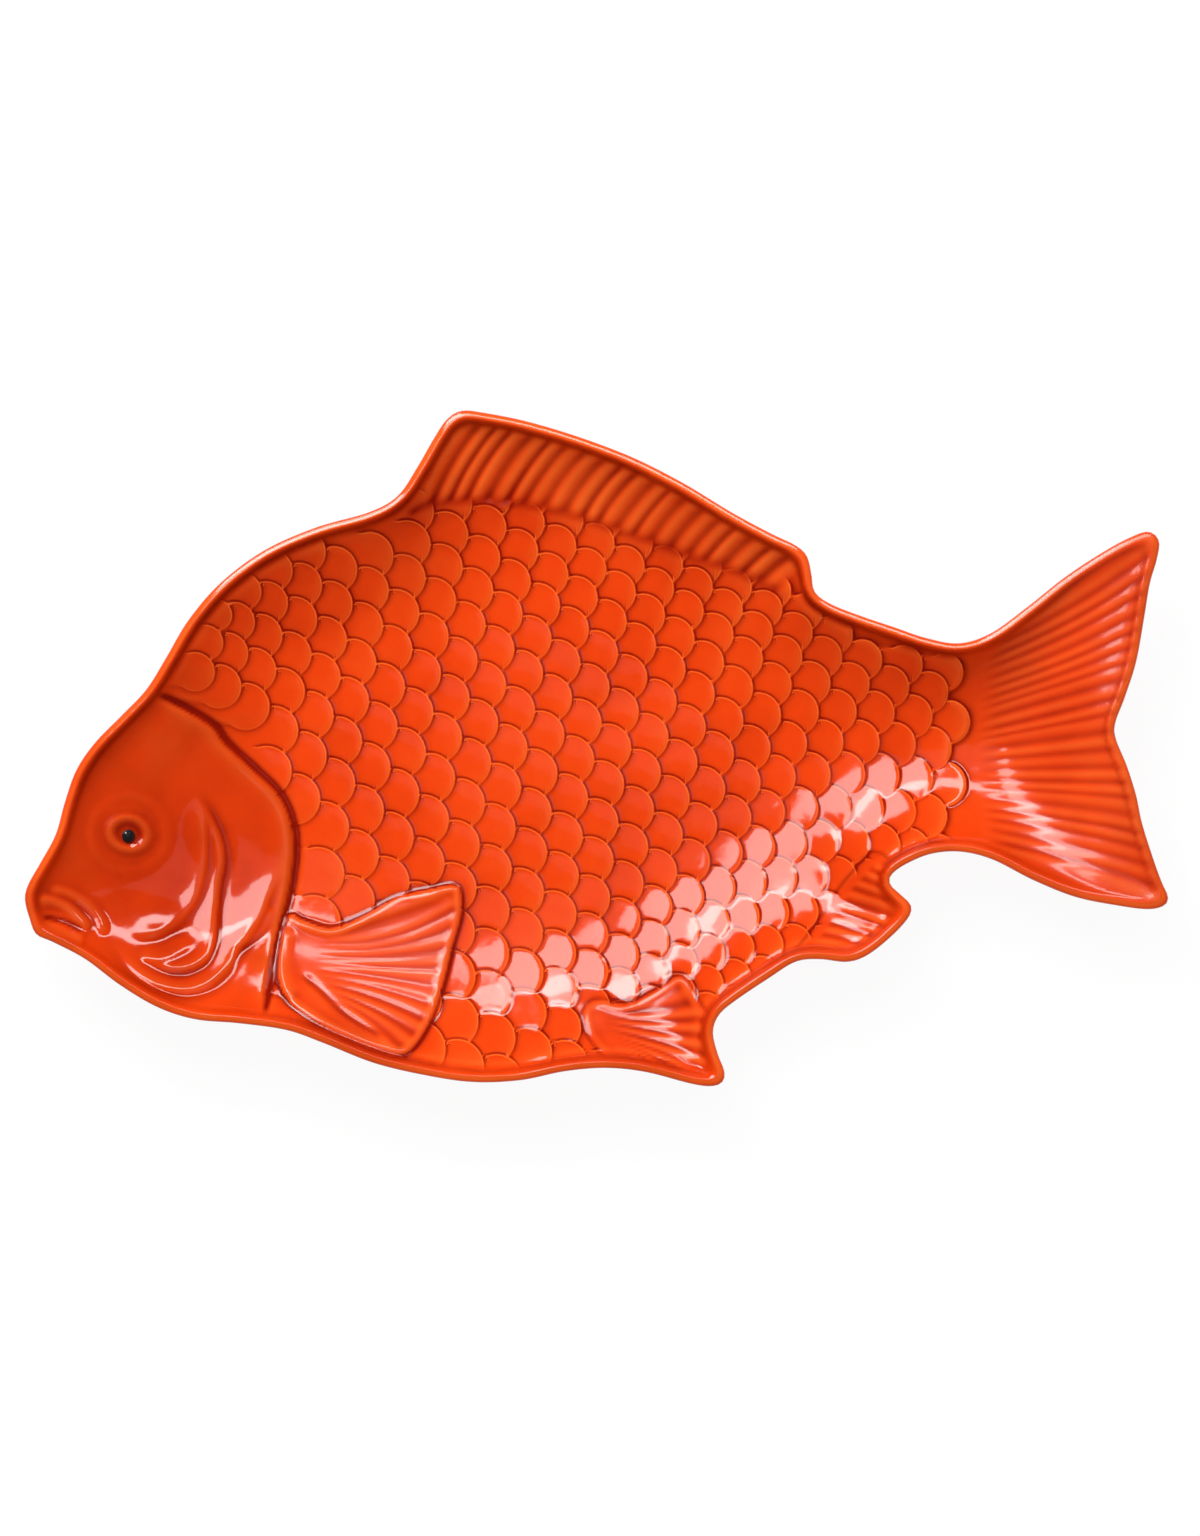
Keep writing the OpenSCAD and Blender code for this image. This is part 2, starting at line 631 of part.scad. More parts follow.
// Oval band under the dish, outer size less twice the inset on each side
module oval_band(height, inset_by) {
    function oval(length, width) =
        [for (a = [0 : 360 / oval_sides : 359]) [length / 2 * cos(a), width / 2 * sin(a)]];
    linear_extrude(height)
        difference() {
            polygon(oval(foot_length - 2 * inset_by, foot_width - 2 * inset_by));
            polygon(oval(
                foot_length - 2 * foot_band + 2 * inset_by,
                foot_width - 2 * foot_band + 2 * inset_by
            ));
        }
}

// Middle of the oval foot under the body
foot_place_shares = [0.45, -0.01];
module on_foot(level) {
    p = at(foot_place_shares);
    translate([p.x, p.y, level]) children();
}

// Band that the foot is luted to, from the foot's top up into the wall of the dish
module foot_seat() {
    plan = plan_grid(-plan_corner, plan_corner, grid_step);
    intersection() {
        on_foot(foot_height) oval_band(rim_height, -seat_margin);
        grid_block(plan,
            [for (row = plan) [for (p = row) top_level(p, signed_inset(p)) - wall_thickness / 2]],
            [for (row = plan) [for (p = row) 0]]);
    }
}

// The dish with everything that is moulded on it
module moulded_dish() {
    intersection() {
        union() {
            dish();
            relief(head_ring, gill_step);
            relief(pectoral_ring, pectoral_step);
            fold(gill_fold_shares, fold_width, fold_height);
            fold(jaw_fold_shares, fold_width, fold_height);
            fold(cheek_fold_shares, fold_width, fold_height);
            fold(upper_lip_shares, lip_roll_width, lip_roll_height);
            fold(lower_lip_shares, lip_roll_width, lip_roll_height);
            fin(dorsal_root_shares, dorsal_tip_shares, dorsal_rays, 2, 0);
            fin(tail_root_shares, tail_tip_shares, tail_rays, 3, 0);
            fin(pectoral_root_shares, pectoral_tip_shares, pectoral_rays, 2, pectoral_step);
            fin(pelvic_root_shares, pelvic_tip_shares, small_fin_rays, 2, 0);
            fin(anal_root_shares, anal_tip_shares, small_fin_rays, 2, 0);
            scales();
            on_eye() eye_ring();
        }
        dish_space();
        outline_block(lip_width);
    }
}

module platter() {
    color(glaze)
        difference() {
            union() {
                rim();
                moulded_dish();
                foot_seat();
            }
            on_eye() eye_socket();
        }
}

module foot_ring() {
    color(bare_clay)
        on_foot(0) {
            oval_band(foot_height, foot_wipe);
            translate([0, 0, wipe_height]) oval_band(foot_height - wipe_height, 0);
        }
}

module eye_bead() {
    color(black_glaze)
        on_eye()
            translate([0, 0, socket_clearance - socket_depth])
                rotate_extrude($fn = 2 * round_sides)
                    polygon(concat(
                        [[0, 0], [pupil_radius, 0]],
                        [for (k = [0 : 6])
                            [pupil_radius * cos(15 * k), pupil_side + pupil_dome * sin(15 * k)]]
                    ));
}

platter();
foot_ring();
eye_bead();
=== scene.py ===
import math
import bpy
import numpy as np
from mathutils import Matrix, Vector
from mathutils.geometry import delaunay_2d_cdt


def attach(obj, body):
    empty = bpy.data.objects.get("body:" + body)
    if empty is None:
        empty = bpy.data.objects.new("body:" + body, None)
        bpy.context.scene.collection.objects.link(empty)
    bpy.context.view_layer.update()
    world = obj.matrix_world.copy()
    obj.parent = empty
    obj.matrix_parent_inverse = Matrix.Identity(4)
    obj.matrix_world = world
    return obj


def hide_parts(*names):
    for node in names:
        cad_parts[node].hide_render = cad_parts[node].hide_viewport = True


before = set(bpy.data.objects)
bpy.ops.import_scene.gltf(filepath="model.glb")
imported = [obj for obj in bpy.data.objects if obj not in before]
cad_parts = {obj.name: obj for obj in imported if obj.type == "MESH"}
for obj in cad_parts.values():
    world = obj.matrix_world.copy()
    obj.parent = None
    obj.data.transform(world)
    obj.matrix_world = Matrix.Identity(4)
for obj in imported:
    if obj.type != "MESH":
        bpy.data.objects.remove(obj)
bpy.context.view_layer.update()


# Plan of the platter. The earthenware body is pressed over a plaster mould,
# and its edge is the fish's own outline, trimmed and sponged round.
# Sizes here are in millimetres, and the meshes are made in metres from them.
fish_length = 440.0
fish_width = 260.0
outline_shares = [
    (0, -0.223), (0.003, -0.201), (0.014, -0.168), (0.027, -0.127), (0.035, -0.079),
    (0.045, -0.032), (0.061, 0.008), (0.084, 0.048), (0.106, 0.087), (0.123, 0.133),
    (0.143, 0.19), (0.171, 0.245), (0.209, 0.293), (0.254, 0.327), (0.301, 0.35),
    (0.326, 0.374), (0.343, 0.416), (0.358, 0.46), (0.369, 0.487), (0.382, 0.5),
    (0.402, 0.497), (0.44, 0.484), (0.487, 0.46), (0.533, 0.43), (0.576, 0.393),
    (0.618, 0.35), (0.652, 0.319), (0.674, 0.301), (0.684, 0.285), (0.688, 0.259),
    (0.691, 0.232), (0.705, 0.214), (0.732, 0.196), (0.76, 0.18), (0.788, 0.164),
    (0.817, 0.156), (0.845, 0.171), (0.877, 0.21), (0.909, 0.253), (0.942, 0.29),
    (0.967, 0.313), (0.983, 0.321), (0.992, 0.307), (0.99, 0.279), (0.984, 0.244),
    (0.979, 0.193), (0.972, 0.128), (0.962, 0.075), (0.954, 0.039), (0.954, 0.016),
    (0.964, -0.026), (0.972, -0.069), (0.977, -0.109), (0.986, -0.158), (0.994, -0.196),
    (1, -0.22), (0.996, -0.233), (0.982, -0.238), (0.957, -0.233), (0.919, -0.22),
    (0.882, -0.195), (0.847, -0.165), (0.819, -0.153),
    (0.793, -0.156), (0.771, -0.171), (0.758, -0.187), (0.757, -0.201), (0.766, -0.216),
    (0.775, -0.232), (0.773, -0.25), (0.758, -0.278), (0.737, -0.306), (0.719, -0.316),
    (0.695, -0.312), (0.674, -0.316), (0.65, -0.341),
    (0.621, -0.374), (0.607, -0.395), (0.602, -0.42), (0.606, -0.451), (0.612, -0.478),
    (0.61, -0.494), (0.6, -0.5), (0.582, -0.496), (0.543, -0.479), (0.508, -0.473),
    (0.472, -0.478), (0.434, -0.491), (0.394, -0.494), (0.354, -0.485), (0.306, -0.466),
    (0.261, -0.436), (0.229, -0.417), (0.188, -0.407), (0.149, -0.401), (0.116, -0.383),
    (0.083, -0.35), (0.053, -0.312), (0.025, -0.287), (0.01, -0.275), (0.004, -0.251),
]


def at(shares):
    shares = np.array(shares, float)
    return np.stack([(shares[..., 0] - 0.5) * fish_length, shares[..., 1] * fish_width], -1)


def smooth_line(points, step, closed=False):
    """Even places, about a step apart, on the smooth curve through points."""
    points = np.array(points, float)
    n = len(points)
    if closed:
        ends = points[[-1]], points[:2]
    else:
        ends = points[[0]] * 2 - points[[1]], points[[-1]] * 2 - points[[-2]]
    p = np.concatenate([ends[0], points, ends[1]])
    fine = []
    t = np.linspace(0, 1, 24, endpoint=False)[:, None]
    for k in range(n if closed else n - 1):
        a, b, c, d = p[k], p[k + 1], p[k + 2], p[k + 3]
        bend = a - 2.5 * b + 2 * c - d / 2 + t * (1.5 * (b - c) + (d - a) / 2)
        fine.append(b + t * ((c - a) / 2 + t * bend))
    fine = np.concatenate(fine + [points[[0]] if closed else points[[-1]]])
    run = np.concatenate([[0], np.cumsum(np.hypot(*np.diff(fine, axis=0).T))])
    parts = max(2, int(round(run[-1] / step)))
    want = np.linspace(0, run[-1], parts + 1)
    if closed:
        want = want[:-1]
    return np.stack([np.interp(want, run, fine[:, 0]), np.interp(want, run, fine[:, 1])], 1)


def edge_field(places, line):
    """Smooth inset from a closed line, the true distance beside a straight edge."""
    a, b = line, np.roll(line, -1, 0)
    length = np.hypot(*(b - a).T)
    u = (b - a) / length[:, None]
    out = np.empty(len(places))
    batch = 8000
    for k in range(0, len(places), batch):
        p = places[k:k + batch, None, :]
        s1 = ((a - p) * u).sum(2)
        s2 = s1 + length
        d2 = np.maximum(((p - a) ** 2).sum(2) - s1 ** 2, 0)
        near = d2 < 1e-6 * (s1 ** 2 + s2 ** 2) + 1e-12
        d2 = np.where(near, 1, d2)
        pull = (s2 / np.sqrt(d2 + s2 ** 2) - s1 / np.sqrt(d2 + s1 ** 2)) / d2
        on_line = np.abs(1 / np.maximum(s1 ** 2, 1e-9) - 1 / np.maximum(s2 ** 2, 1e-9)) / 2
        out[k:k + batch] = np.sqrt(2 / np.maximum(np.where(near, on_line, pull).sum(1), 1e-12))
    return out


def within(places, ring):
    """Which places lie inside a closed line."""
    inside = np.zeros(len(places), bool)
    for a, b in zip(ring, np.roll(ring, -1, 0)):
        if a[1] != b[1]:
            cut = a[0] + (places[:, 1] - a[1]) * (b[0] - a[0]) / (b[1] - a[1])
            inside ^= ((a[1] > places[:, 1]) != (b[1] > places[:, 1])) & (places[:, 0] < cut)
    return inside


def grid_lines(width, step):
    return np.arange(-width / 2, width / 2 + step, step)


outline = at(outline_shares)
edge_line = smooth_line(outline, 3.5, closed=True)
mesh_step = 0.92
columns, rows = grid_lines(fish_length, mesh_step), grid_lines(fish_width, mesh_step)
plan = np.stack(np.meshgrid(columns, rows, indexing="ij"), -1)
in_plan = within(plan.reshape(-1, 2), edge_line).reshape(plan.shape[:2])
plan_inset = np.zeros(plan.shape[:2])
plan_inset[in_plan] = edge_field(plan[in_plan], edge_line)


# The dish. One wall of red-brown earthenware about 5.5 mm thick: a rolled lip,
# a short steep wall inside it, and sides that sink in one long curve to the
# floor, which stands on an oval foot ring. Where the wall and the curve begin is
# an inset from the edge, and their drops are measured down from the rim.
floor_underside = 6.0
wall = 5.5
dish_depth = 28.5
rim_height = floor_underside + wall + dish_depth
wall_foot, wall_foot_drop = 4.5, 3.28
wall_drop = 6.8
wall_end = 7.2
slope_reach = 62.0
side_power = 2.2


# The scales, pressed into the body by the mould: round tongues that lie over
# each other like tiles, free edges toward the tail, in rows along the flank.
scale_columns, scale_rows = (-8, -2, 4, 10), (3, 7, 11, 15)
scale_net_shares = np.array([
    [(0.194, 0.136), (0.382, 0.264), (0.583, 0.297), (0.782, 0.185)],
    [(0.171, -0.084), (0.356, 0.048), (0.552, 0.148), (0.76, 0.159)],
    [(0.16, -0.396), (0.335, -0.206), (0.524, -0.06), (0.717, 0.007)],
    [(0.173, -0.852), (0.339, -0.498), (0.51, -0.284), (0.676, -0.197)],
])
scaled_area_shares = [
    (0.165, 0.048), (0.145, 0.087), (0.153, 0.161), (0.188, 0.235), (0.241, 0.285),
    (0.311, 0.325), (0.35, 0.41), (0.4, 0.42), (0.444, 0.41), (0.5, 0.38),
    (0.546, 0.35), (0.598, 0.31), (0.645, 0.28), (0.69, 0.23), (0.71, 0.19),
    (0.765, 0.151), (0.818, 0.125), (0.83, 0.087), (0.828, -0.017), (0.818, -0.099),
    (0.812, -0.16), (0.7, -0.36), (0.62, -0.5), (0.3, -0.5), (0.24, -0.42), (0.24, -0.2),
    (0.239, -0.121), (0.223, -0.054), (0.197, 0.005),
]


def ease(x):
    x = np.clip(x, 0, 1)
    return x * x * (3 - 2 * x)


def curve_weights(chosen, t):
    return [np.prod([(t - m) / (k - m) for m in chosen if m != k]) for k in chosen]


def scale_apex(column, row):
    across = np.array(curve_weights(scale_columns, column))
    down = np.array(curve_weights(scale_rows, row))
    return at(np.einsum("j,i,jik->k", down, across, scale_net_shares))


def scale_relief(places):
    """Height of the overlapping scales, 1 at a rear edge, the way to the nearest edge in mm
    (below 0 on the scale that it lies on), and how strongly the painted shadow and painted
    highlight along that edge show."""
    height, edge, shown = np.zeros(len(places)), np.full(len(places), -9.0), np.zeros(len(places))
    rounding, straight_side, reach_in_net = 0.75, 0.866, 0.682
    area = at(scaled_area_shares)
    for column in range(15, -11, -1):
        for row in range(1, 20):
            middle = scale_apex(column - 0.5, row - 0.35)
            if column > row + 5 or not within(middle[None], area)[0]:
                continue
            tip = scale_apex(column, row)
            along_row = scale_apex(column + 0.5, row) - scale_apex(column - 0.5, row)
            along_column = scale_apex(column, row + 0.5) - scale_apex(column, row - 0.5)
            cell = abs(along_row[0] * along_column[1] - along_row[1] * along_column[0])
            radius = reach_in_net * math.sqrt(cell)
            turn = math.radians(-10 + 10 * float(ease((tip[0] / fish_length - 0.1) / 0.22)))
            axis = np.array([math.cos(turn), math.sin(turn)])
            centre = tip - radius * axis
            near = np.nonzero(((places - centre) ** 2).sum(1) < (2.4 * radius) ** 2)[0]
            along = (places[near] - centre) @ axis
            across = (places[near] - centre) @ np.array([-axis[1], axis[0]])
            inset = np.where(along > -0.5 * radius, radius - np.hypot(along, across),
                             straight_side * radius - np.abs(across))
            cover = ease((inset + rounding) / (2 * rounding))
            cover = cover * ease((along + 2.2 * radius) / (0.7 * radius))
            top = np.clip((along + 1.6 * radius) / (2.6 * radius), 0, 1)
            top = 0.22 + 0.78 * top * (1 - 0.35 * np.minimum(np.abs(across) / radius, 1) ** 2)
            height[near] = height[near] * (1 - cover) + top * cover
            # Painted shade: the dark and pale lines at the edge are drawn stronger on the scale's dorsal
            # side than on its belly side
            shade_by_side = np.clip(0.75 + 0.6 * across / radius, 0.35, 1)
            strength = shade_by_side * ease((along + 0.8 * radius) / (0.4 * radius))
            nearer = (inset > 0) | (np.abs(inset) < np.abs(edge[near]))
            edge[near] = np.where(nearer, inset, edge[near])
            shown[near] = np.where(nearer, strength, shown[near])
    return height, edge, shown * ease((2.6 - np.abs(edge)) / 1.2)


# The head, modelled in the plaster mould like all the relief: a gill cover
# whose rear edge stands over the flank, folds of the cheek and the jaw that
# step down on their outer side, rolled lips, and a ring around the eye.
gill_edge = [
    (-171.7, 19.8), (-164, 17.1), (-149.4, 8.7), (-143.6, 1.3), (-131.7, -9.8),
    (-123.3, -18.3), (-119, -27.5), (-117.5, -37.1), (-118.6, -50.2), (-121.3, -63.3),
    (-125.2, -81), (-127.9, -93.7), (-130.6, -106.7),
]
gill_fold = [
    (-120.2, -42.1), (-125.6, -55.2), (-131, -67.5), (-138.6, -77.9), (-142.5, -85.2),
    (-149.4, -91.3), (-158.6, -93.7), (-169.8, -91.3), (-177.9, -86), (-183.3, -79),
    (-186.3, -72.9),
]
jaw_fold = [
    (-156.3, -16), (-150.6, -24), (-146, -33.7), (-144.4, -43.7), (-146, -52.9),
    (-147.1, -64), (-147.5, -73.3), (-149.8, -80.2), (-155.2, -84.4), (-162.1, -85.6),
    (-171.3, -83.3), (-178.3, -79.4),
]
cheek_fold = [
    (-155.6, -17.9), (-151.7, -27.5), (-151, -41.3), (-152.5, -51.3), (-155.2, -59.4),
    (-160.6, -66.3), (-167.5, -71), (-174.8, -72.5), (-181.7, -71),
]
chin_fold = [
    (-154, -74), (-160.2, -78.7), (-168.3, -81.7), (-177.9, -80.2),
]
throat_fold = [
    (-123.3, -60.2), (-128.6, -69.8), (-134.8, -74.8), (-140.2, -76.7),
]
eye_middle, eye_reach, eye_turn = (-180.6, -32.9), (7.2, 6.1), math.radians(-15)
upper_lip = [
    (-216, -59), (-210.2, -58.7), (-204, -61.3), (-198.6, -66.3), (-195.6, -70.2),
]
mouth_fold = [
    (-211.7, -54), (-204, -55.6), (-196.3, -60.2), (-191, -66.7), (-190.2, -72.9),
]
slit = [
    (-214, -64.8), (-206.3, -66.3), (-197.1, -70.2),
]
lower_lip = [
    (-215.6, -67.9), (-209.4, -70.6), (-202.5, -73.3), (-197.1, -74),
]


far_off = 1e9


def near_line(places, line, reach):
    """Which places lie within reach of the box around a line."""
    return ((places > line.min(0) - reach) & (places < line.max(0) + reach)).all(1)


def from_line(places, line, reach=60):
    """Distance to an open line, positive on its left, and the share of its length."""
    close = near_line(places, line, reach)
    if not close.all():
        distance, share = np.full(len(places), 1e3), np.full(len(places), 0.5)
        if close.any():
            distance[close], share[close] = from_line(places[close], line, far_off)
        return distance, share
    best = np.full(len(places), far_off)
    side = np.ones(len(places))
    share = np.zeros(len(places))
    run = np.concatenate([[0], np.cumsum(np.hypot(*np.diff(line, axis=0).T))])
    for k in range(len(line) - 1):
        a, b = line[k], line[k + 1]
        t = np.clip(((places - a) @ (b - a)) / ((b - a) @ (b - a)), 0, 1)
        off = places - (a + t[:, None] * (b - a))
        d = (off ** 2).sum(1)
        closer = d < best
        best = np.where(closer, d, best)
        cross = (b - a)[0] * (places[:, 1] - a[1]) - (b - a)[1] * (places[:, 0] - a[0])
        side = np.where(closer, np.sign(cross), side)
        share = np.where(closer, (run[k] + t * (run[k + 1] - run[k])) / run[-1], share)
    return np.sqrt(best) * np.where(side == 0, 1, side), share


def plate_edge(places, points, reach, soft, groove=0.25, fade=0.2):
    """Edge of a plate on the right of a line: 1 at the edge, easing away over its reach."""
    d, share = from_line(places, smooth_line(points, 2), 40)
    d = -d
    ends = ease(share / fade) * ease((1 - share) / fade)
    body = ease((d + soft) / (2 * soft)) * (1 - np.clip(d / (1.6 * reach), 0, 1)) ** 2
    trough = groove * np.exp(-((d + 1.6 * soft) / (1.3 * soft)) ** 2)
    return (body - trough) * ends


def soft_ridge(places, points, width, fade=0.15):
    """1 on the crest of a rounded ridge along a line, 0 beside it."""
    d, share = from_line(places, smooth_line(points, 2), 2 * width)
    return np.exp(-(2 * d / width) ** 2) * ease(share / fade) * ease((1 - share) / fade)


def head_relief(places):
    """Heights of the head's plate and of its details in millimetres, and where the head lies."""
    d, _ = from_line(places, smooth_line(gill_edge, 2), far_off)
    d = -d
    on_head = ease((d + 1.2) / 2.6)
    plate = 2.9 + 2.1 * np.exp(-np.maximum(d, 0) / 10) - 1.3 * np.exp(-np.maximum(d, 0) / 2.4)
    height = np.zeros(len(places))
    for fold, rise, reach, soft in (
        (jaw_fold, 1.4, 10, 1.5), (cheek_fold, 1.0, 8, 1.9), (gill_fold, 1.3, 9, 1.9),
        (chin_fold, 0.6, 6, 1.5), (throat_fold, 0.6, 6, 1.5),
    ):
        height = height + rise * plate_edge(places, fold, reach, soft)
    q = places - eye_middle
    u = (q[:, 0] * math.cos(eye_turn) + q[:, 1] * math.sin(eye_turn)) / eye_reach[0]
    v = (-q[:, 0] * math.sin(eye_turn) + q[:, 1] * math.cos(eye_turn)) / eye_reach[1]
    r = np.hypot(u, v)
    height = height + 1.0 * np.exp(-((r - 1) / 0.22) ** 2) - 0.8 * ease((1 - r) / 0.6)
    from_eye = np.hypot(*q.T)
    height = height + 1.5 * np.exp(-(from_eye / 10.5) ** 2) + 0.22 * np.exp(-((from_eye - 14.5) / 1.8) ** 2)
    for line, rise, width in (
        (upper_lip, 1.6, 4.2), (mouth_fold, 0.9, 3.6), (lower_lip, 1.6, 4.0), (slit, -1.3, 2.0),
    ):
        height = height + rise * soft_ridge(places, line, width)
    return plate, height, on_head, d


# The fins: the pectoral, pelvic and anal fins are raised fans laid over the
# scales, and the dorsal and tail fins are rayed parts of the dish itself. The
# rays are ridges of the mould, a little uneven like the hand that cut them.
pectoral_outline = [
    (-114.8, -66), (-103.6, -69.8), (-92.5, -66), (-77.9, -57.9), (-66, -54.8),
    (-56.3, -52.9), (-52.9, -54.4), (-52.5, -64), (-56, -77.1), (-60.2, -93.7),
    (-66, -108.3), (-74, -117.5), (-85.2, -116.3), (-99.8, -109.8), (-111, -102.9),
    (-119, -96.7), (-123.3, -85.2), (-122.1, -71.7), (-119, -63.7),
]
pectoral_roots = [
    (-109.4, -72.9), (-111.7, -77.5), (-112.5, -83.7), (-111, -90.6), (-107.1, -96.7),
]
pectoral_tips = [
    (-55.2, -55.6), (-55.6, -67.9), (-57.1, -81.3), (-61, -96.7), (-66.3, -108.3),
    (-74, -115.2), (-83.3, -116),
]
pectoral_top = [
    (-118.6, -66.3), (-111, -68.3), (-102.5, -70.6), (-94, -68.3), (-81.3, -63.7),
    (-67.9, -59), (-55.6, -55.2),
]
pectoral_shoulder = [
    (-119.4, -67.9), (-120.6, -77.5), (-120.2, -87.1), (-117.5, -96.7),
]
pectoral_groove = [
    (-115.2, -86), (-107.1, -92.9), (-96.7, -102.5), (-80.2, -112.5),
]
dorsal_roots = [
    (-71, 91), (-60.2, 94.4), (-44.8, 95.2), (-29.4, 94), (-10.2, 89.8), (12.9, 82.1),
    (36, 73.7), (55.2, 67.1), (68.7, 61),
]
dorsal_tips = [
    (-52.5, 126.3), (-41, 125.2), (-21.7, 121.7), (1.3, 114.8), (24.4, 105.6), (47.5, 93.3),
    (66.7, 81), (80.6, 70.2),
]
tail_roots = [
    (149.5, 41), (147.5, 22.5), (146.6, -0.6), (147.5, -23.7), (150, -39),
]
tail_tips = [
    (213.4, 81.4), (212.6, 60), (209, 41), (204.4, 24.4), (200.2, 5.2), (204, -10.2),
    (209.8, -29.8), (215.4, -46.7), (217, -60),
]
pelvic_outline = [
    (-4.8, -102.1), (-2.5, -98.3), (2.1, -97.5), (6.3, -98.6), (11, -99), (15.6, -97.5),
    (20.6, -95.2), (25.2, -92.5), (29, -89.4), (32.1, -88.3), (34.8, -90.6), (36.7, -94.8),
    (39.4, -98.6), (42.1, -102.1), (46, -105.2), (56, -112.1), (57.1, -132.1),
    (47.5, -138.3), (16.7, -134.4), (12.1, -127.5), (6, -120.6), (0.2, -114.4),
    (-3.7, -107.9),
]
pelvic_root_middle = (-1.7, -103.3)
pelvic_top = [
    (-3.3, -100.6), (2.1, -98.3), (9.8, -99.8), (16.7, -97.9), (25.2, -93.3), (32.1, -89),
    (36, -93.7), (41.3, -100.6),
]
pelvic_roots = [
    (6, -99.8), (3.3, -102.9), (2.9, -106.7), (5.2, -111.3), (9, -116),
]
pelvic_tips = [
    (33.7, -90.6), (40.6, -100.6), (44.8, -109.8), (47.1, -117.5), (49, -124.4),
    (39.8, -130.6), (26, -129),
]
anal_outline = [
    (106.7, -41.3), (100.2, -48.3), (94.8, -54.8), (91, -61), (86.3, -67.9), (81, -74.8),
    (77.1, -81.3), (86, -92.1), (116.7, -82.1), (131.3, -60.2), (117.5, -51.3),
    (111.3, -43.7),
]
anal_roots = [
    (107.5, -42.1), (98.6, -49.8), (92.9, -57.5), (87.5, -66), (80.6, -76),
]
anal_tips = [
    (113.6, -47.5), (121.3, -59), (119.8, -66), (112.9, -73.7), (102.1, -79.8),
]


def ring_distance(places, ring):
    """Distance from a closed line, positive inside it."""
    d, _ = from_line(places, np.concatenate([ring, ring[:1]]))
    return np.abs(d) * np.where(within(places, ring), 1, -1)


rng = np.random.default_rng(7)


def fan(roots, tips, count, bend, lean=0.0):
    """Crest lines of a fin's rays, from its root line to its tip line, and their strengths."""
    roots, tips = smooth_line(roots, 0.5), smooth_line(tips, 0.5)
    lines = []
    for k in range(count):
        t = (k + 0.5 + rng.uniform(-0.16, 0.16)) / count
        a = roots[int(t * (len(roots) - 1))]
        b = tips[int(t * (len(tips) - 1))]
        sway = lean + bend * (2 * t - 1) + rng.uniform(-0.012, 0.012)
        side = np.array([-(b - a)[1], (b - a)[0]]) * sway
        lines.append(smooth_line([a, a + (b - a) / 3 + side, a + (b - a) * 2 / 3 + side, b], 4))
    return lines, rng.uniform(0.6, 1.15, count)


def ray_relief(places, fan_lines):
    """1 on the crests of rays, -1 in the valleys between them."""
    lines, strengths = fan_lines
    first, second = np.full(len(places), far_off), np.full(len(places), far_off)
    strong, next_strong = np.ones(len(places)), np.ones(len(places))
    for line, strength in zip(lines, strengths):
        d = np.abs(from_line(places, line, far_off)[0])
        best, good = d < first, d < second
        second = np.where(best, first, np.where(good, d, second))
        next_strong = np.where(best, strong, np.where(good, strength, next_strong))
        first = np.where(best, d, first)
        strong = np.where(best, strength, strong)
    between = first / (first + second + 1e-6)
    return np.cos(2 * np.pi * between) * (strong * (1 - between) + next_strong * between)


def fin_relief(places, roots, tips, count, start, bend, lean):
    """Rays of a fin that is part of the dish, where the fin lies, and distance from its root."""
    roots_line, tips_line = smooth_line(roots, 3), smooth_line(tips, 3)
    fin_ring = np.concatenate([roots_line, tips_line[::-1]])
    crests, mask, pad = np.zeros(len(places)), np.zeros(len(places)), np.full(len(places), -1e3)
    from_root = np.full(len(places), 1e3)
    close = near_line(places, fin_ring, 12)
    there = places[close]
    from_root[close] = np.abs(from_line(there, roots_line)[0])
    pad[close] = ring_distance(there, fin_ring)
    mask[close] = ease((pad[close] + 3) / 5.5)
    reach = ease((pad[close] + 7) / 8) * ease((from_root[close] * np.sign(pad[close]) + 1) / start)
    crests[close] = ray_relief(there, fan(roots, tips, count, bend, lean)) * reach
    return crests, mask, from_root


def laid_fin(places, ring, roots, tips, count, bend, soft, start):
    """A fin laid over the scales: how far in its edge a place lies, where the fin is, and its rays."""
    pad = ring_distance(places, smooth_line(ring, 3, closed=True))
    close = pad > -soft
    crests = np.zeros(len(places))
    from_root, _ = from_line(places[close], smooth_line(roots, 2))
    rays = ray_relief(places[close], fan(roots, tips, count, bend))
    crests[close] = rays * ease(np.abs(from_root) / start)
    return pad, ease((pad + soft) / (2 * soft)), crests * ease((pad - 0.6) / 2.6)


# The relief put together: how high scales, rays, gill cover and laid fins stand
# over the dish, each covering what lies under it, and all fading into the wall.
# Beside the heights it gives what the glaze follows, hollows, rays and edges, and where
# painted shadow lines go: at fin roots, beside laid fins, outside the gill cover and along
# the scales' edges.
edge_reach = 4
scale_lift = 1.5
ray_height = 0.45
gill_step = 3.0
fin_step = 2.4


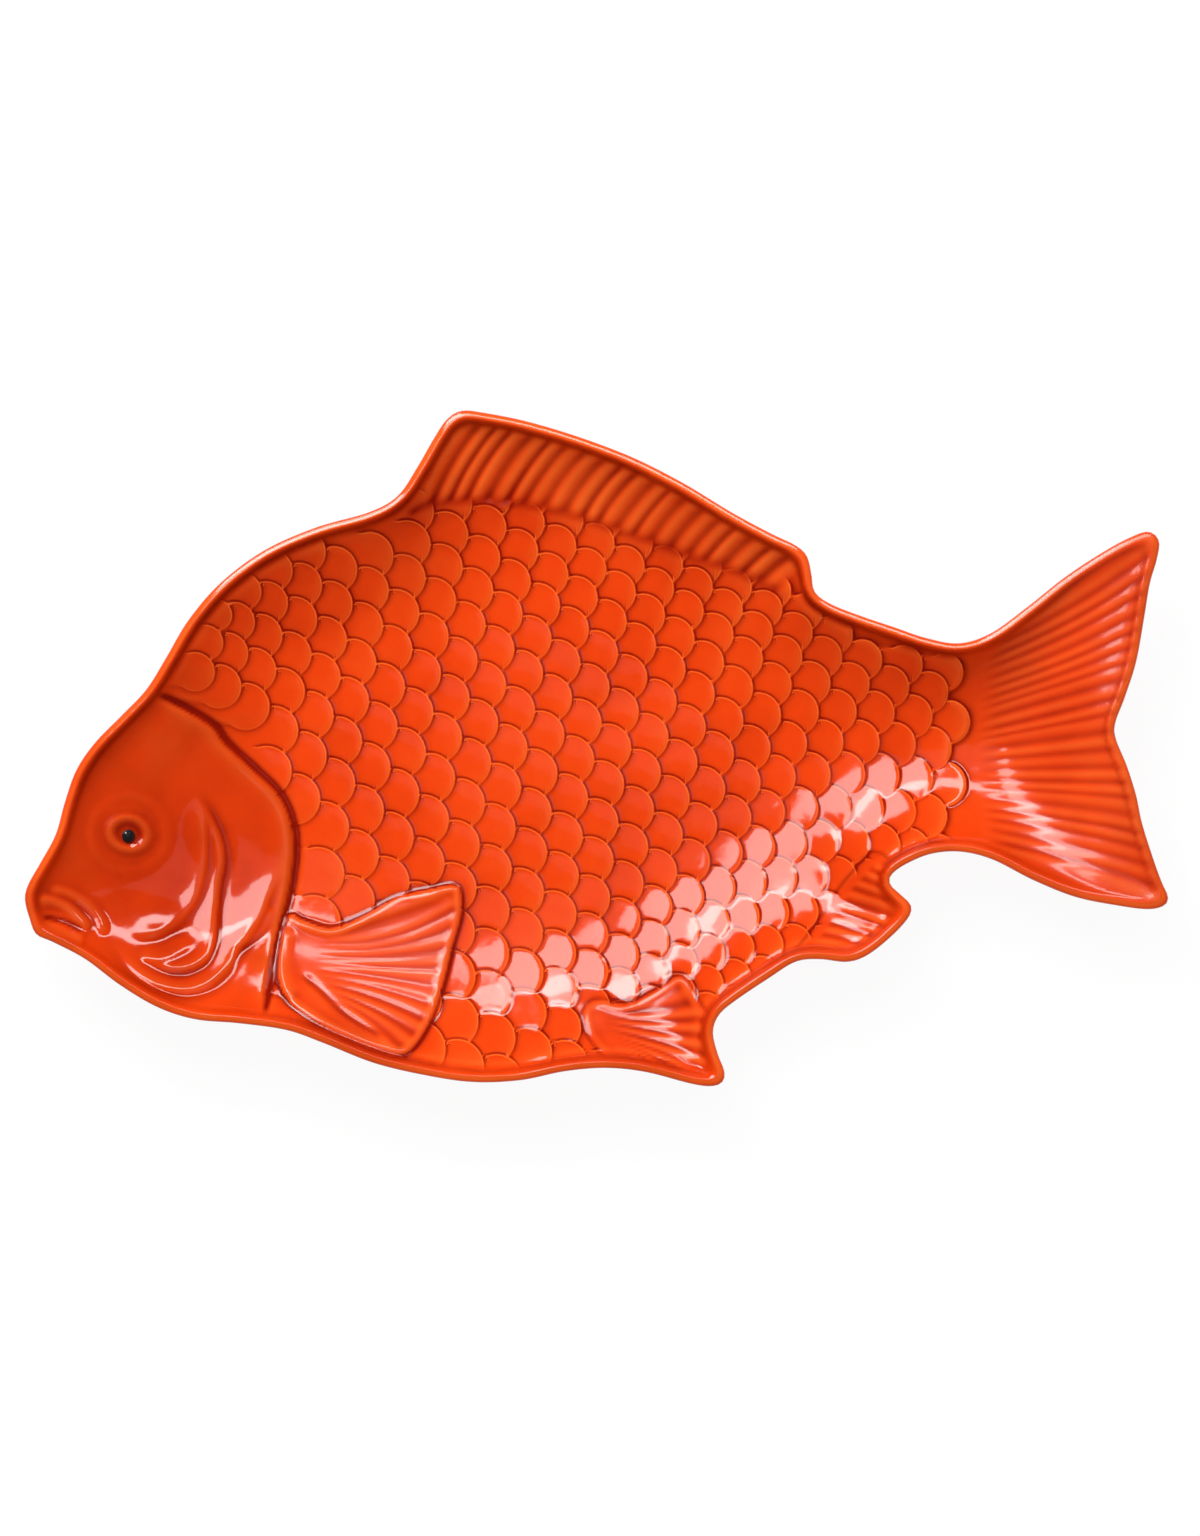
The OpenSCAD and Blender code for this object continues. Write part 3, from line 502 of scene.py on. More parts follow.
def moulded_relief(places, inset):
    fade = ease((inset - 4.2) / 3.4)
    tail = ease((places[:, 0] / fish_length + 0.5 - 0.9) / 0.05)
    ray_fade = ease((inset - 3.6) / 2.8) * (1 - tail) + ease((inset - 0.6) / 2.5) * tail
    scales, edge, shown = scale_relief(places)
    crease_shade = np.zeros(len(places))
    rays, streaks, bare = np.zeros(len(places)), np.zeros(len(places)), np.ones(len(places))
    for roots, tips, count, start, bend, lean, strength in (
        (dorsal_roots, dorsal_tips, 20, 5, 0, 0.035, 1.0),
        (tail_roots, tail_tips, 21, 12, 0.02, 0, 0.3),
    ):
        crests, mask, from_root = fin_relief(places, roots, tips, count, start, bend, lean)
        bare = bare * (1 - mask)
        rays = rays + strength * crests + 0.3 * mask
        streaks = streaks + crests * (1.25 - 0.65 * strength)
        # Painted shadow: a dark line along the dorsal fin's root; the tail's fainter rays get none
        root_shade = 0.5 * np.exp(-(from_root / 2.2) ** 2) + 0.4 * np.exp(-from_root / 5)
        crease_shade = np.maximum(crease_shade * (1 - mask), (2 * strength - 1) * root_shade)
    scales = scales * bare
    fins = np.zeros(len(places))
    for ring, roots, tips, count, bend, soft, start, step, strength in (
        (anal_outline, anal_roots, anal_tips, 8, 0.02, 1.6, 5, 0.3, 0.6),
        (pelvic_outline, pelvic_roots, pelvic_tips, 8, 0.06, 1.0, 9, 0.5, 0.7),
        (pectoral_outline, pectoral_roots, pectoral_tips, 10, 0.09, 0.8, 14, 1.0, 0.5),
    ):
        pad, on_fin, crests = laid_fin(places, ring, roots, tips, count, bend, soft, start)
        bare = bare * (1 - on_fin)
        scales = scales * (1 - on_fin)
        rays = rays * (1 - on_fin) + strength * crests * on_fin
        streaks = streaks * (1 - on_fin) + crests * on_fin
        rolled = step + 0.2 * step * np.exp(-((pad - 1.6) / 1.2) ** 2)
        fins = fins * (1 - on_fin) + rolled * on_fin
        shade_line = np.exp(-((pad + soft) / 0.8) ** 2) * (1 - on_fin)
        crease_shade = np.maximum(crease_shade * (1 - on_fin), shade_line)
    for line, rise, width in (
        (pectoral_groove, -0.4, 3.2), (pectoral_top, 0.35, 3.4),
        (pectoral_shoulder, 0.6, 7), (pelvic_top, 0.35, 3.4),
    ):
        fins = fins + rise * soft_ridge(places, line, width)
    fins = fins + 0.4 * np.exp(-(((places - pelvic_root_middle) / 5.0) ** 2).sum(1))
    plate, details, on_head, behind = head_relief(places)
    # The trough outside the gill cover's rear edge is sunk into the head, and a painted shadow is drawn
    # along it
    trough = np.exp(-((behind + 1.9) / 1.2) ** 2) * (1 - on_head)
    crease_shade = np.maximum(crease_shade, 0.8 * trough)
    off_head = 1 - on_head
    return {
        "scales": scales * off_head * fade,
        "rays": rays * off_head * ray_fade,
        "head": ((plate * ease((inset - 3.4) / 20) + details * ease((inset - 2.6) / 4)) * on_head
                 - 0.7 * trough * fade) / gill_step,
        "fins": fins * off_head * fade,
        # Painted shadow lines along creases, with the glaze pooled in them
        "crease_shade": crease_shade * off_head * fade,
        "streaks": streaks * off_head * ray_fade,
        "edge": np.clip(edge, -edge_reach, edge_reach),
        # Strength of the painted shadow and highlight along the scales' edges
        "shown": shown * bare * off_head * fade,
    }


def softened(field, known, reach):
    """Field averaged over its neighbourhood, from the known places only."""
    k = int(3 * reach / mesh_step) + 1
    taps = np.exp(-0.5 * (np.arange(-k, k + 1) * mesh_step / reach) ** 2)

    def spread(a):
        for axis in (0, 1):
            pad = [(k, k) if x == axis else (0, 0) for x in (0, 1)]
            b = np.pad(a, pad)
            a = sum(w * np.take(b, np.arange(a.shape[axis]) + m, axis) for m, w in enumerate(taps))
        return a
    return spread(field * known) / np.maximum(spread(known.astype(float)), 1e-6)


inner = plan_inset > 0.3
shapes = {}
for name, values in moulded_relief(plan[inner], plan_inset[inner]).items():
    shapes[name] = np.zeros(plan.shape[:2])
    shapes[name][inner] = values
    if name not in ("crease_shade", "edge", "shown"):
        shapes[name] = softened(shapes[name], inner, 0.5)
crease_shade, streaks, edge, shown = [shapes.pop(name) for name in ("crease_shade", "streaks", "edge", "shown")]
relief = (shapes["scales"] * scale_lift + shapes["rays"] * ray_height
          + shapes["head"] * gill_step + shapes["fins"] * fin_step)


# The melted glaze leaves crests and edges, so it is worn thin there, and it
# pools in hollows, beside laid edges and under the rolled lip. Painted shade is
# added to this: dark lines beside edges, at fin roots and outside the gill cover,
# and a dark band under the lip that is strongest on the dorsal and head side,
# which faces away from the light. Painted light lightens the dorsal fin. It is
# duller on the tail and on the lower fins.
def portion(height, full):
    """A height as a share of the one that counts in full."""
    return np.clip(height / full, 0, 1)


close_mean, wide_mean = softened(relief, inner, 1.1), softened(relief, inner, 3.2)
plan_x, plan_y = plan[..., 0], plan[..., 1]
# Painted light: the dorsal fin is lightened, and kept from darkening, because its wall faces away from the
# lamps
dorsal_painted_light = softened(np.abs(streaks), inner, 3) * ease((plan_y - 30) / 10) * (plan_x < 118)
on_low_fins = softened(np.clip(shapes["fins"] * 2, 0, 1), inner, 1.5) * (plan_y < -60)
on_tail = ease((plan_x - 135) / 35)
on_cheek = ease((-150 - plan_x) / 15) * ease((-35 - plan_y) / 15)
on_crown = np.exp(-((plan_inset - 1.5) / 0.8) ** 2)
# Darker beside each scale's edge, on the scale under it: pooled glaze and painted shade, stronger on the
# scale's dorsal side
shade_beside_edge = shown * np.where(edge < 0, np.exp(np.minimum(edge, 0) / 1.9), 0)
# Painted shade under the lip: a dark band inside the rolled lip, partly pooled glaze, strong on the dorsal
# and head side, which faces away from the light, and weak on the belly and toward the tail
under_lip_pool_and_shade = np.exp(-((plan_inset - 4.3) / 0.9) ** 2) + 0.35 * np.exp(-np.abs(plan_inset - 4.3) / 4)
shaded_side = 0.2 + 0.8 * ease((plan_y + 70) / 80) * (1 - 0.7 * ease((plan_x - 120) / 30))

# Share of deep red: glaze pooled in hollows, with painted shade along creases, edges and under the lip
pooled = 0.4 * portion(close_mean - relief, 0.2) + 0.35 * portion(wide_mean - relief, 0.7)
pooled = pooled + 0.62 * crease_shade + 0.28 * np.clip(shapes["head"], 0, 1)
pooled = pooled + 0.2 * shade_beside_edge + 0.3 * np.clip(-streaks, 0, 1)
pooled = pooled + 0.1 * on_tail - 0.16 * dorsal_painted_light + 0.14 * on_cheek
pooled = pooled + 0.6 * under_lip_pool_and_shade * shaded_side * ease((plan_inset - 2.8) / 1.2)
# Share of light red: glaze worn thin on crests, with painted light on the dorsal fin
worn = 0.5 * portion(relief - close_mean, 0.16) + 0.4 * portion(relief - wide_mean, 0.6)
worn = 0.6 * worn + 0.35 * np.clip(streaks, 0, 1) + 0.9 * on_crown + 0.85 * dorsal_painted_light
fin_sheen = np.maximum(on_low_fins, on_tail)


def sampled(field, places):
    """Value of a field over the plan at any places."""
    x = (places[:, 0] - columns[0]) / mesh_step
    y = (places[:, 1] - rows[0]) / mesh_step
    i = np.clip(x.astype(int), 0, len(columns) - 2)
    j = np.clip(y.astype(int), 0, len(rows) - 2)
    u, v = x - i, y - j
    return (field[i, j] * (1 - u) * (1 - v) + field[i + 1, j] * u * (1 - v)
            + field[i, j + 1] * (1 - u) * v + field[i + 1, j + 1] * u * v)


def settled(places, goal):
    """Places moved along the slope of the inset until they lie at the goal."""
    nudge = 0.1
    for _ in range(3):
        inset = edge_field(places, edge_line)
        beside = [edge_field(places + step, edge_line) for step in ([nudge, 0], [0, nudge])]
        slope = np.stack([value - inset for value in beside], 1) / nudge
        move = slope * ((goal - inset) / np.maximum((slope ** 2).sum(1), 0.05))[:, None]
        far = np.maximum(np.hypot(*move.T) / 2.5, 1)
        places = places + move / far[:, None]
    return places


rim_step = 2.0
rim_line = smooth_line(outline, rim_step, closed=True)
run = np.roll(rim_line, -1, 0) - np.roll(rim_line, 1, 0)
inward = np.stack([run[:, 1], -run[:, 0]], 1) / np.hypot(*run.T)[:, None]
crown = 1.8
ring_at = {0: rim_line}
place = rim_line + inward * crown / 2
for goal in (crown, 2.25, 2.7, 3.4, 3.9, wall_foot):
    place = settled(place, goal)
    ring_at[goal] = place
for goal in (0.07, 0.25, 0.4, 0.53, 0.9, 1.33, 1.5):
    ring_at[goal] = rim_line + (ring_at[crown] - rim_line) * goal / crown

# Section of the lip from the root of the wall's underside, round the lip, to
# the foot of the wall inside it: inset from the edge and depth below the rim
lip_section = [
    (wall_foot, 11.8), (3.4, 10.4), (1.5, 8.2), (0.4, 6.9), (0, 5.9), (0, 3.9), (0, 2.2),
    (0.07, 1.5), (0.25, 0.97), (0.53, 0.65), (0.9, 0.475), (1.33, 0.305), (crown, 0.14),
    (2.25, 0), (2.7, 0.1), (3.4, 0.86), (3.9, 1.95), (wall_foot, wall_foot_drop),
]


def strip(outer, inner, drop_cells, low, step):
    """Triangles between a ring and the stepped edge of a grid inside it."""
    points = np.concatenate([outer, inner])
    n = len(outer)
    outer_edges = [(k, (k + 1) % n) for k in range(n)]
    made = delaunay_2d_cdt([Vector(p) for p in points], outer_edges, [], 0, 1e-7)
    faces = np.array(made[2])
    middles = points[faces].mean(1)
    cell = np.floor((middles - low) / step + 1e-9).astype(int)
    cell = np.clip(cell, 0, np.array(drop_cells.shape) - 1)
    keep = within(middles, outer) & ~drop_cells[cell[:, 0], cell[:, 1]]
    return faces[keep]


# The plan's points ring by ring, each with its inset, its depth below the rim
# and its side: 0 on the lip, 1 in the dish, 2 on the underside
faces = []
n = len(rim_line)
plan_points = [ring_at[inset] for inset, depth in lip_section]
insets = [np.full(n, inset) for inset, depth in lip_section]
depths = [np.full(n, depth) for inset, depth in lip_section]
sides = [np.zeros(n) for section in lip_section]
wall_foot_start = n * (len(lip_section) - 1)
for k in range(0, wall_foot_start, n):
    a = k + np.arange(n)
    b = k + (np.arange(n) + 1) % n
    faces += np.stack([a, a + n, b + n, b], 1).tolist()


def add_sheet(ring_start, ring, grid_x, grid_y, limit, side):
    """Grid inside the ring, joined to it by a strip of triangles."""
    step = grid_x[1] - grid_x[0]
    g = np.stack(np.meshgrid(grid_x, grid_y, indexing="ij"), -1)
    ins = np.zeros(g.shape[:2])
    ok = within(g.reshape(-1, 2), edge_line).reshape(ins.shape)
    ins[ok] = edge_field(g[ok], edge_line)
    ok = ins > limit
    cells = ok[:-1, :-1] & ok[1:, :-1] & ok[:-1, 1:] & ok[1:, 1:]
    cells_around = np.zeros(ok.shape, int)
    for du in (0, 1):
        for dv in (0, 1):
            cells_around[du:du + cells.shape[0], dv:dv + cells.shape[1]] += cells
    used = cells_around > 0
    index = np.full(ok.shape, -1)
    index[used] = sum(map(len, plan_points)) + np.arange(used.sum())
    ci, cj = np.nonzero(cells)
    quads = np.stack([index[ci, cj], index[ci + 1, cj], index[ci + 1, cj + 1], index[ci, cj + 1]], 1)
    border = used & (cells_around < 4)
    tri = strip(ring, g[border], cells, np.array([grid_x[0], grid_y[0]]), step)
    tri = np.concatenate([ring_start + np.arange(len(ring)), index[border]])[tri]
    if side == 2:
        quads, tri = quads[:, ::-1], tri[:, ::-1]
    faces.extend(quads.tolist())
    faces.extend(tri.tolist())
    plan_points.append(g[used])
    insets.append(ins[used])
    depths.append(np.zeros(used.sum()))
    sides.append(np.full(used.sum(), side))


add_sheet(wall_foot_start, ring_at[wall_foot], columns, rows, wall_foot + 0.5, 1)
under_step = 3.2
under_columns, under_rows = grid_lines(fish_length, under_step), grid_lines(fish_width, under_step)
add_sheet(0, ring_at[wall_foot], under_columns, under_rows, wall_foot + 0.8, 2)
plan_points, insets, depths, sides = map(np.concatenate, (plan_points, insets, depths, sides))

# The foot's sizes, which the underside comes down to
foot_middle = at((0.45, -0.01))
foot_length, foot_width, foot_height, foot_band = 230, 112, 5, 7
x, y = (plan_points - foot_middle).T
angle = np.arctan2(y / (foot_width - foot_band), x / (foot_length - foot_band))
from_band = np.hypot(x - np.cos(angle) * (foot_length - foot_band) / 2,
                     y - np.sin(angle) * (foot_width - foot_band) / 2)

mm = 0.001
mesh = bpy.data.meshes.new("platter_body")
mesh.from_pydata([(x * mm, y * mm, 0) for x, y in plan_points], [], faces)
on_top = sides < 2


def give(name, values):
    mesh.attributes.new(name, "FLOAT", "POINT").data.foreach_set("value", np.asarray(values, np.float32))


give("inset", insets)
give("depth", depths)
give("side", sides)
give("from_foot", from_band)
shapes.update(pooled=pooled, worn=worn, fin_sheen=fin_sheen, edge=edge, shown=shown)
for name, field in shapes.items():
    give(name, np.where(on_top, sampled(field, plan_points), -edge_reach if name == "edge" else 0))


# Both clay pieces are shaped by geometry trees, and sums in the trees and in the
# materials are written as plain expressions on these values.
class Value:
    """A node socket that sums are written with."""
    def __init__(self, tree, socket):
        self.tree, self.socket = tree, socket

    def math(self, operation, *others, flip=False):
        node = self.tree.nodes.new("ShaderNodeMath")
        node.operation = operation
        terms = [self, *others]
        if flip:
            terms.reverse()
        for k, term in enumerate(terms):
            if isinstance(term, Value):
                self.tree.links.new(term.socket, node.inputs[k])
            else:
                node.inputs[k].default_value = term
        return Value(self.tree, node.outputs[0])

    def __add__(self, o): return self.math("ADD", o)
    def __radd__(self, o): return self.math("ADD", o, flip=True)
    def __sub__(self, o): return self.math("SUBTRACT", o)
    def __rsub__(self, o): return self.math("SUBTRACT", o, flip=True)
    def __mul__(self, o): return self.math("MULTIPLY", o)
    def __rmul__(self, o): return self.math("MULTIPLY", o, flip=True)
    def __truediv__(self, o): return self.math("DIVIDE", o)
    def __rtruediv__(self, o): return self.math("DIVIDE", o, flip=True)
    def __pow__(self, o): return self.math("POWER", o)
    def least(self, o): return self.math("MINIMUM", o)
    def most(self, o): return self.math("MAXIMUM", o)
    def over(self, o): return self.math("GREATER_THAN", o)


class Nodes:
    """Nodes added to a tree one by one, sockets set by name, or by number as _0."""
    def __init__(self, tree):
        self.tree = tree

    def add(self, kind, settings=None, **values):
        node = self.tree.nodes.new(kind)
        for name, value in (settings or {}).items():
            setattr(node, name, value)
        for name, value in values.items():
            socket = node.inputs[int(name[1:])] if name[0] == "_" else node.inputs[name.replace("_", " ")]
            if isinstance(value, Value):
                self.tree.links.new(value.socket, socket)
            elif isinstance(value, bpy.types.NodeSocket):
                self.tree.links.new(value, socket)
            else:
                socket.default_value = value
        return node

    def value(self, kind, settings=None, out=0, **values):
        return Value(self.tree, self.add(kind, settings, **values).outputs[out])


def node_piece(name, tree, nodes, shape, mesh, sizes, material):
    """Plain mesh piece that a geometry tree with named sizes makes of a plan mesh."""
    smooth = nodes.add("GeometryNodeSetShadeSmooth", _0=shape.outputs[0])
    real = nodes.add("GeometryNodeRealizeInstances", _0=smooth.outputs[0])
    dress = nodes.add("GeometryNodeSetMaterial", Geometry=real.outputs[0], Material=material)
    tree.links.new(dress.outputs[0], nodes.add("NodeGroupOutput").inputs[0])
    holder = bpy.data.objects.new(name + "_plan", mesh)
    bpy.context.collection.objects.link(holder)
    holder.data.materials.append(material)
    modifier = holder.modifiers.new(name, "NODES")
    modifier.node_group = tree
    for item in tree.interface.items_tree:
        if item.in_out == "INPUT" and item.name in sizes:
            modifier[item.identifier] = sizes[item.name]
    made = bpy.data.meshes.new_from_object(holder.evaluated_get(bpy.context.evaluated_depsgraph_get()))
    made.name = name
    bpy.data.objects.remove(holder)
    piece = bpy.data.objects.new(name, made)
    bpy.context.collection.objects.link(piece)
    return piece


def size_tree(name, sizes):
    """Empty geometry tree with one named input for each size, in millimetres."""
    tree = bpy.data.node_groups.new(name, "GeometryNodeTree")
    tree.interface.new_socket("Geometry", in_out="INPUT", socket_type="NodeSocketGeometry")
    tree.interface.new_socket("Geometry", in_out="OUTPUT", socket_type="NodeSocketGeometry")
    for size, value in sizes.items():
        socket = tree.interface.new_socket(size, in_out="INPUT", socket_type="NodeSocketFloat")
        socket.default_value = value
    entry = tree.nodes.new("NodeGroupInput")
    return tree, Nodes(tree), entry, {size: Value(tree, entry.outputs[size]) for size in sizes}


# The tree lifts the flat plan to its heights: the lip by its section, the dish
# by its long curve, which stays shallow in the tail, and the underside a wall
# below the dish, level in the middle and drawn down to the foot.
body_sizes = {
    "Rim height": rim_height, "Wall drop": wall_drop, "Wall end": wall_end, "Dish depth": dish_depth,
    "Slope reach": slope_reach, "Side power": side_power, "Wall": wall, "Underside": floor_underside,
    "Scale lift": scale_lift, "Ray height": ray_height, "Head step": gill_step, "Fin step": fin_step,
    "Foot height": foot_height, "Foot band": foot_band, "Wall grade": 2.1, "Wall foot": wall_foot,
    "Wall foot drop": wall_foot_drop, "Wall fillet": 1.2, "Tail rise start": 0.85,
    "Tail rise end": 0.955, "Tail drop share": 0.26,
}
tree, nodes, entry, size = size_tree("pressed_dish", body_sizes)


def stored(name):
    return nodes.value("GeometryNodeInputNamedAttribute", {"data_type": "FLOAT"}, Name=name)


def eased(part):
    part = part.most(0).least(1)
    return part * part * (3 - 2 * part)


flat = nodes.add("ShaderNodeSeparateXYZ", _0=nodes.add("GeometryNodeInputPosition").outputs[0])
from_mouth = Value(tree, flat.outputs[0]) * (1000 / fish_length) + 0.5
tail_rise = size["Tail rise end"] - size["Tail rise start"]
sunk = 1 - eased((from_mouth - size["Tail rise start"]) / tail_rise) * (1 - size["Tail drop share"])
left = (1 - (stored("inset") - size["Wall end"]) / (size["Slope reach"] - size["Wall end"])).most(0)
drop = size["Wall drop"] + (size["Dish depth"] - size["Wall drop"]) * (1 - left ** size["Side power"])
dish = size["Rim height"] - drop * sunk
wall_run = (stored("inset") - size["Wall foot"]) * size["Wall grade"]
steep = size["Rim height"] - (wall_run + size["Wall foot drop"]) * sunk
top = dish.math("SMOOTH_MAX", steep, size["Wall fillet"])
relief_sum = (stored("scales") * size["Scale lift"] + stored("rays") * size["Ray height"]
              + stored("head") * size["Head step"] + stored("fins") * size["Fin step"])
inner_lip = stored("inset").over(crown + 0.1) * stored("depth").math("LESS_THAN", 4)
lip = size["Rim height"] - stored("depth") * (1 - inner_lip * (1 - sunk))
under = (dish - size["Wall"] * (1 + 0.35 * left.least(1))).most(size["Underside"])
near_foot = eased(1 - (stored("from_foot") - size["Foot band"] * 0.6) / 3)
seated = 0.05
under = under * (1 - near_foot) + (size["Foot height"] - seated) * near_foot
on_under = stored("side").over(1.5)
on_dish = stored("side").over(0.5) * (1 - on_under)
level = (lip + relief_sum) * (1 - on_dish - on_under) + (top + relief_sum) * on_dish + under * on_under
raised = nodes.add("ShaderNodeCombineXYZ", X=flat.outputs[0], Y=flat.outputs[1], Z=level * mm)
moved = nodes.add("GeometryNodeSetPosition", Geometry=entry.outputs[0], Position=raised.outputs[0])


# The glaze: an orange-red glass over the red clay, flowed off the raised
# edges, where the clay shows lighter, and pooled deep red in the recesses.
# The same reds also paint shade along creases, edges and under the lip, and
# highlights along the scales' edges and on the dorsal fin.
def material(name):
    made = bpy.data.materials.new(name)
    made.use_nodes = True
    made.node_tree.nodes.clear()
    return made, Nodes(made.node_tree)


glaze, shade = material("orange_red_glaze")


def read(name):
    return shade.value("ShaderNodeAttribute", {"attribute_name": name}, out=2)


def mixed(factor, first, second):
    return shade.add("ShaderNodeMix", {"data_type": "RGBA"}, _0=factor, _6=first, _7=second).outputs[2]


def noise(scale, detail, roughness):
    places = shade.add("ShaderNodeTexCoord").outputs["Object"]
    return shade.value("ShaderNodeTexNoise", {"noise_dimensions": "3D"}, Vector=places,
                       Scale=scale, Detail=detail, Roughness=roughness)


def surface(**values):
    shader = shade.add("ShaderNodeBsdfPrincipled", **values)
    shade.add("ShaderNodeOutputMaterial", Surface=shader.outputs[0])


# The deep red is also the colour of painted shade, and the light red that of painted highlights
thin_and_lit_red, full_red, pooled_red = (0.95, 0.15, 0.02, 1), (0.8, 0.052, 0.003, 1), (0.26, 0.006, 0.0005, 1)
cloud, flow, waves = noise(28.0, 3.0, 0.5), noise(75.0, 4.0, 0.6), noise(90.0, 2.0, 0.5)
# Two lines along each scale's edge, placed in millimetres from it: a dark line
# just outside it, pooled glaze and painted shadow, and a thin pale line just
# inside it, a painted highlight
edge, shown = read("edge"), read("shown")
below_edge, on_edge = (edge + 0.45) / 0.6, (edge - 0.32) / 0.34
crease_shade_line = (1 - below_edge * below_edge).most(0) * shown
edge_highlight_line = (1 - on_edge * on_edge).most(0) * shown
# Darker where the glaze pools, with painted shadow along the scales' edges and the other creases
deep = (read("pooled") + crease_shade_line * 0.62 - edge_highlight_line * 0.3
        + (cloud - 0.5) * 0.6 + (flow - 0.5) * 0.35).most(0).least(1)
# Lighter where the glaze is worn thin, with painted highlights along the scales' edges and painted light on
# the dorsal fin
thin_and_lit = (read("worn") * 0.8 + edge_highlight_line * 0.75
        + (0.5 - cloud) * 0.35 + (flow - 0.5) * 0.35).most(0).least(1)
colour = mixed(deep, mixed(thin_and_lit, full_red, thin_and_lit_red), pooled_red)
bump = shade.add("ShaderNodeBump", Strength=0.25, Distance=0.0006, Height=waves)
surface(Base_Color=colour, Roughness=0.09 + read("fin_sheen") * 0.1, Normal=bump.outputs[0],
        Specular_IOR_Level=0.5, Coat_Weight=0.15, Coat_Roughness=0.04)

body = node_piece("platter_body", tree, nodes, moved, mesh, body_sizes, glaze)
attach(body, "root")
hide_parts("platter")


# The foot: a coil of the same clay luted to the underside, turned oval and
# wiped bare where it stands, so its lower corners are soft.
clay, shade = material("wiped_bare_clay")
dark_clay, pale_clay = (0.62, 0.4, 0.26, 1), (0.72, 0.52, 0.37, 1)
grain = noise(900.0, 4.0, 0.6)
bump = shade.add("ShaderNodeBump", Strength=0.3, Distance=0.0002, Height=grain)
surface(Base_Color=mixed(grain, dark_clay, pale_clay), Roughness=0.8, Normal=bump.outputs[0])

foot_sizes = {
    "Length": foot_length, "Width": foot_width, "Height": foot_height, "Band": foot_band, "Wipe": 1.1,
}
tree, nodes, entry, size = size_tree("luted_foot", foot_sizes)
circle = nodes.add("GeometryNodeCurvePrimitiveCircle", Resolution=180, Radius=1.0)
half_length, half_width = [(size[side] - size["Band"]) * (mm / 2) for side in ("Length", "Width")]
wide = nodes.add("ShaderNodeCombineXYZ", X=half_length, Y=half_width, Z=1.0)
oval = nodes.add("GeometryNodeTransform", _0=circle.outputs[0], Scale=wide.outputs[0])
band = nodes.add("GeometryNodeCurvePrimitiveQuadrilateral",
                 Width=size["Band"] * mm, Height=size["Height"] * mm)
soft = nodes.add("GeometryNodeFilletCurve", {"mode": "POLY"}, _0=band.outputs[0],
                 Radius=size["Wipe"] * mm, Count=5)
swept = nodes.add("GeometryNodeCurveToMesh", _0=oval.outputs[0], _1=soft.outputs[0], Fill_Caps=False)
lifted = nodes.add("ShaderNodeCombineXYZ", X=foot_middle[0] * mm, Y=foot_middle[1] * mm,
                   Z=size["Height"] * (mm / 2))
set_down = nodes.add("GeometryNodeTransform", _0=swept.outputs[0], Translation=lifted.outputs[0])
foot_plan = bpy.data.meshes.new("foot_plan")
foot = node_piece("foot_coil", tree, nodes, set_down, foot_plan, foot_sizes, clay)
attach(foot, "root")
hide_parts("foot_ring")


# The pupil: a domed bead covered in black glaze, set in the small socket of the
# eye before firing. The solid already has its dome, so it is shown itself, and
# only its material is made here.
black, shade = material("black_bead_glaze")
surface(Base_Color=(0.012, 0.012, 0.014, 1), Roughness=0.08)
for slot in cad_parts["eye_bead"].material_slots:
    slot.material = black


# The white sweep and the lights of the photograph: a large softbox high on the
# upper left, a long window strip beyond the dish, a weak panel overhead and an
# even room that the glaze shows dimly. The sweep is paper to the light that
# falls on it, and white by itself where it is seen or mirrored.
white, shade = material("white_sweep")
facing = shade.add("ShaderNodeLightPath")
paper = shade.add("ShaderNodeBsdfDiffuse", Color=(0.8, 0.8, 0.8, 1))
glow = shade.add("ShaderNodeEmission", Color=(1, 1, 1, 1), Strength=0.93)
dim = shade.add("ShaderNodeBsdfDiffuse", Color=(0.08, 0.08, 0.08, 1))
both = shade.add("ShaderNodeAddShader", _0=dim.outputs[0], _1=glow.outputs[0])
seen = Value(white.node_tree, facing.outputs["Is Camera Ray"])
for kind in ("Glossy", "Transmission"):
    seen = seen.most(Value(white.node_tree, facing.outputs[f"Is {kind} Ray"]))
choose = shade.add("ShaderNodeMixShader", _0=seen, _1=paper.outputs[0], _2=both.outputs[0])
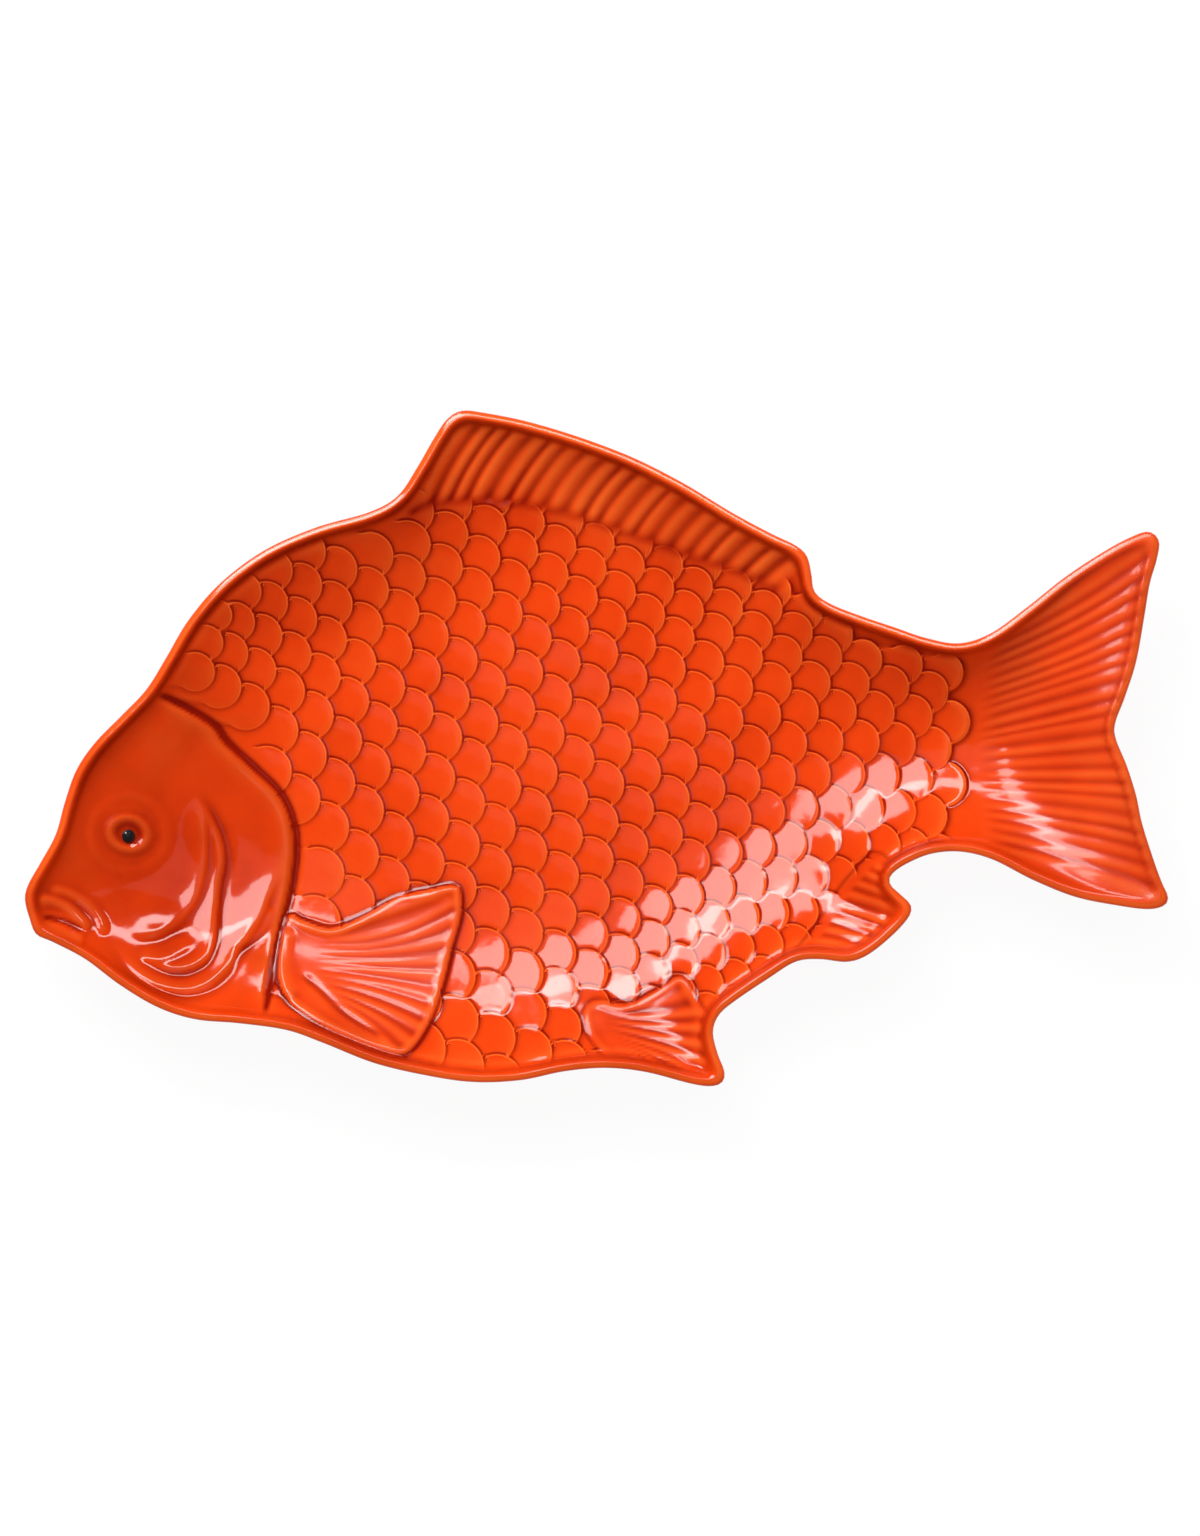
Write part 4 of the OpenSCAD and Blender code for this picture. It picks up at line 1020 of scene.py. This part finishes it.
shade.add("ShaderNodeOutputMaterial", Surface=choose.outputs[0])
reach = 20.0
corners = [(-reach, -reach, 0), (reach, -reach, 0), (reach, reach, 0), (-reach, reach, 0)]
floor_mesh = bpy.data.meshes.new("sweep")
floor_mesh.from_pydata(corners, [], [(0, 1, 2, 3)])
floor_mesh.materials.append(white)
sweep = bpy.data.objects.new("sweep", floor_mesh)
bpy.context.collection.objects.link(sweep)


def lamp(name, place, aim, wide, high, power):
    data = bpy.data.lights.new(name, "AREA")
    data.shape, data.size, data.size_y, data.energy = "RECTANGLE", wide, high, power
    made = bpy.data.objects.new(name, data)
    made.location = place
    made.rotation_euler = (Vector(aim) - Vector(place)).to_track_quat("-Z", "Y").to_euler()
    bpy.context.collection.objects.link(made)


lamp("softbox", (-0.62, 1.04, 1.42), aim=(0.05, -0.03, 0.02), wide=0.8, high=1.6, power=25)
lamp("window_strip", (-0.1, 1.4, 1.7), aim=(0, 0, 0.03), wide=2.6, high=0.28, power=20)
lamp("overhead", (0.25, 0.35, 2.2), aim=(0, 0, 0), wide=1.3, high=1.0, power=1.2)
world = bpy.data.worlds.new("dim_room")
bpy.context.scene.world = world
world.use_nodes = True
world.node_tree.nodes.clear()
room = Nodes(world.node_tree)
ray = room.add("ShaderNodeLightPath")
level = 0.43 - Value(world.node_tree, ray.outputs["Is Glossy Ray"]) * 0.41
air = room.add("ShaderNodeBackground", Color=(1, 1, 1, 1), Strength=level)
room.add("ShaderNodeOutputWorld", Surface=air.outputs[0])

# A long lens straight above the dish, as far off as shows 0.59 m at the rim's
# height from the top of the picture to its bottom, like the photograph.
lens, sensor, picture_height = 250, 36, 0.5907
camera_data = bpy.data.cameras.new("long_lens")
camera_data.lens, camera_data.sensor_width = lens, sensor
camera_data.clip_end = 20
camera = bpy.data.objects.new("camera", camera_data)
camera.location = (0.00135, -0.0075, rim_height * mm + picture_height / sensor * lens)
bpy.context.collection.objects.link(camera)
bpy.context.scene.camera = camera
bpy.context.scene.view_settings.view_transform = "Standard"
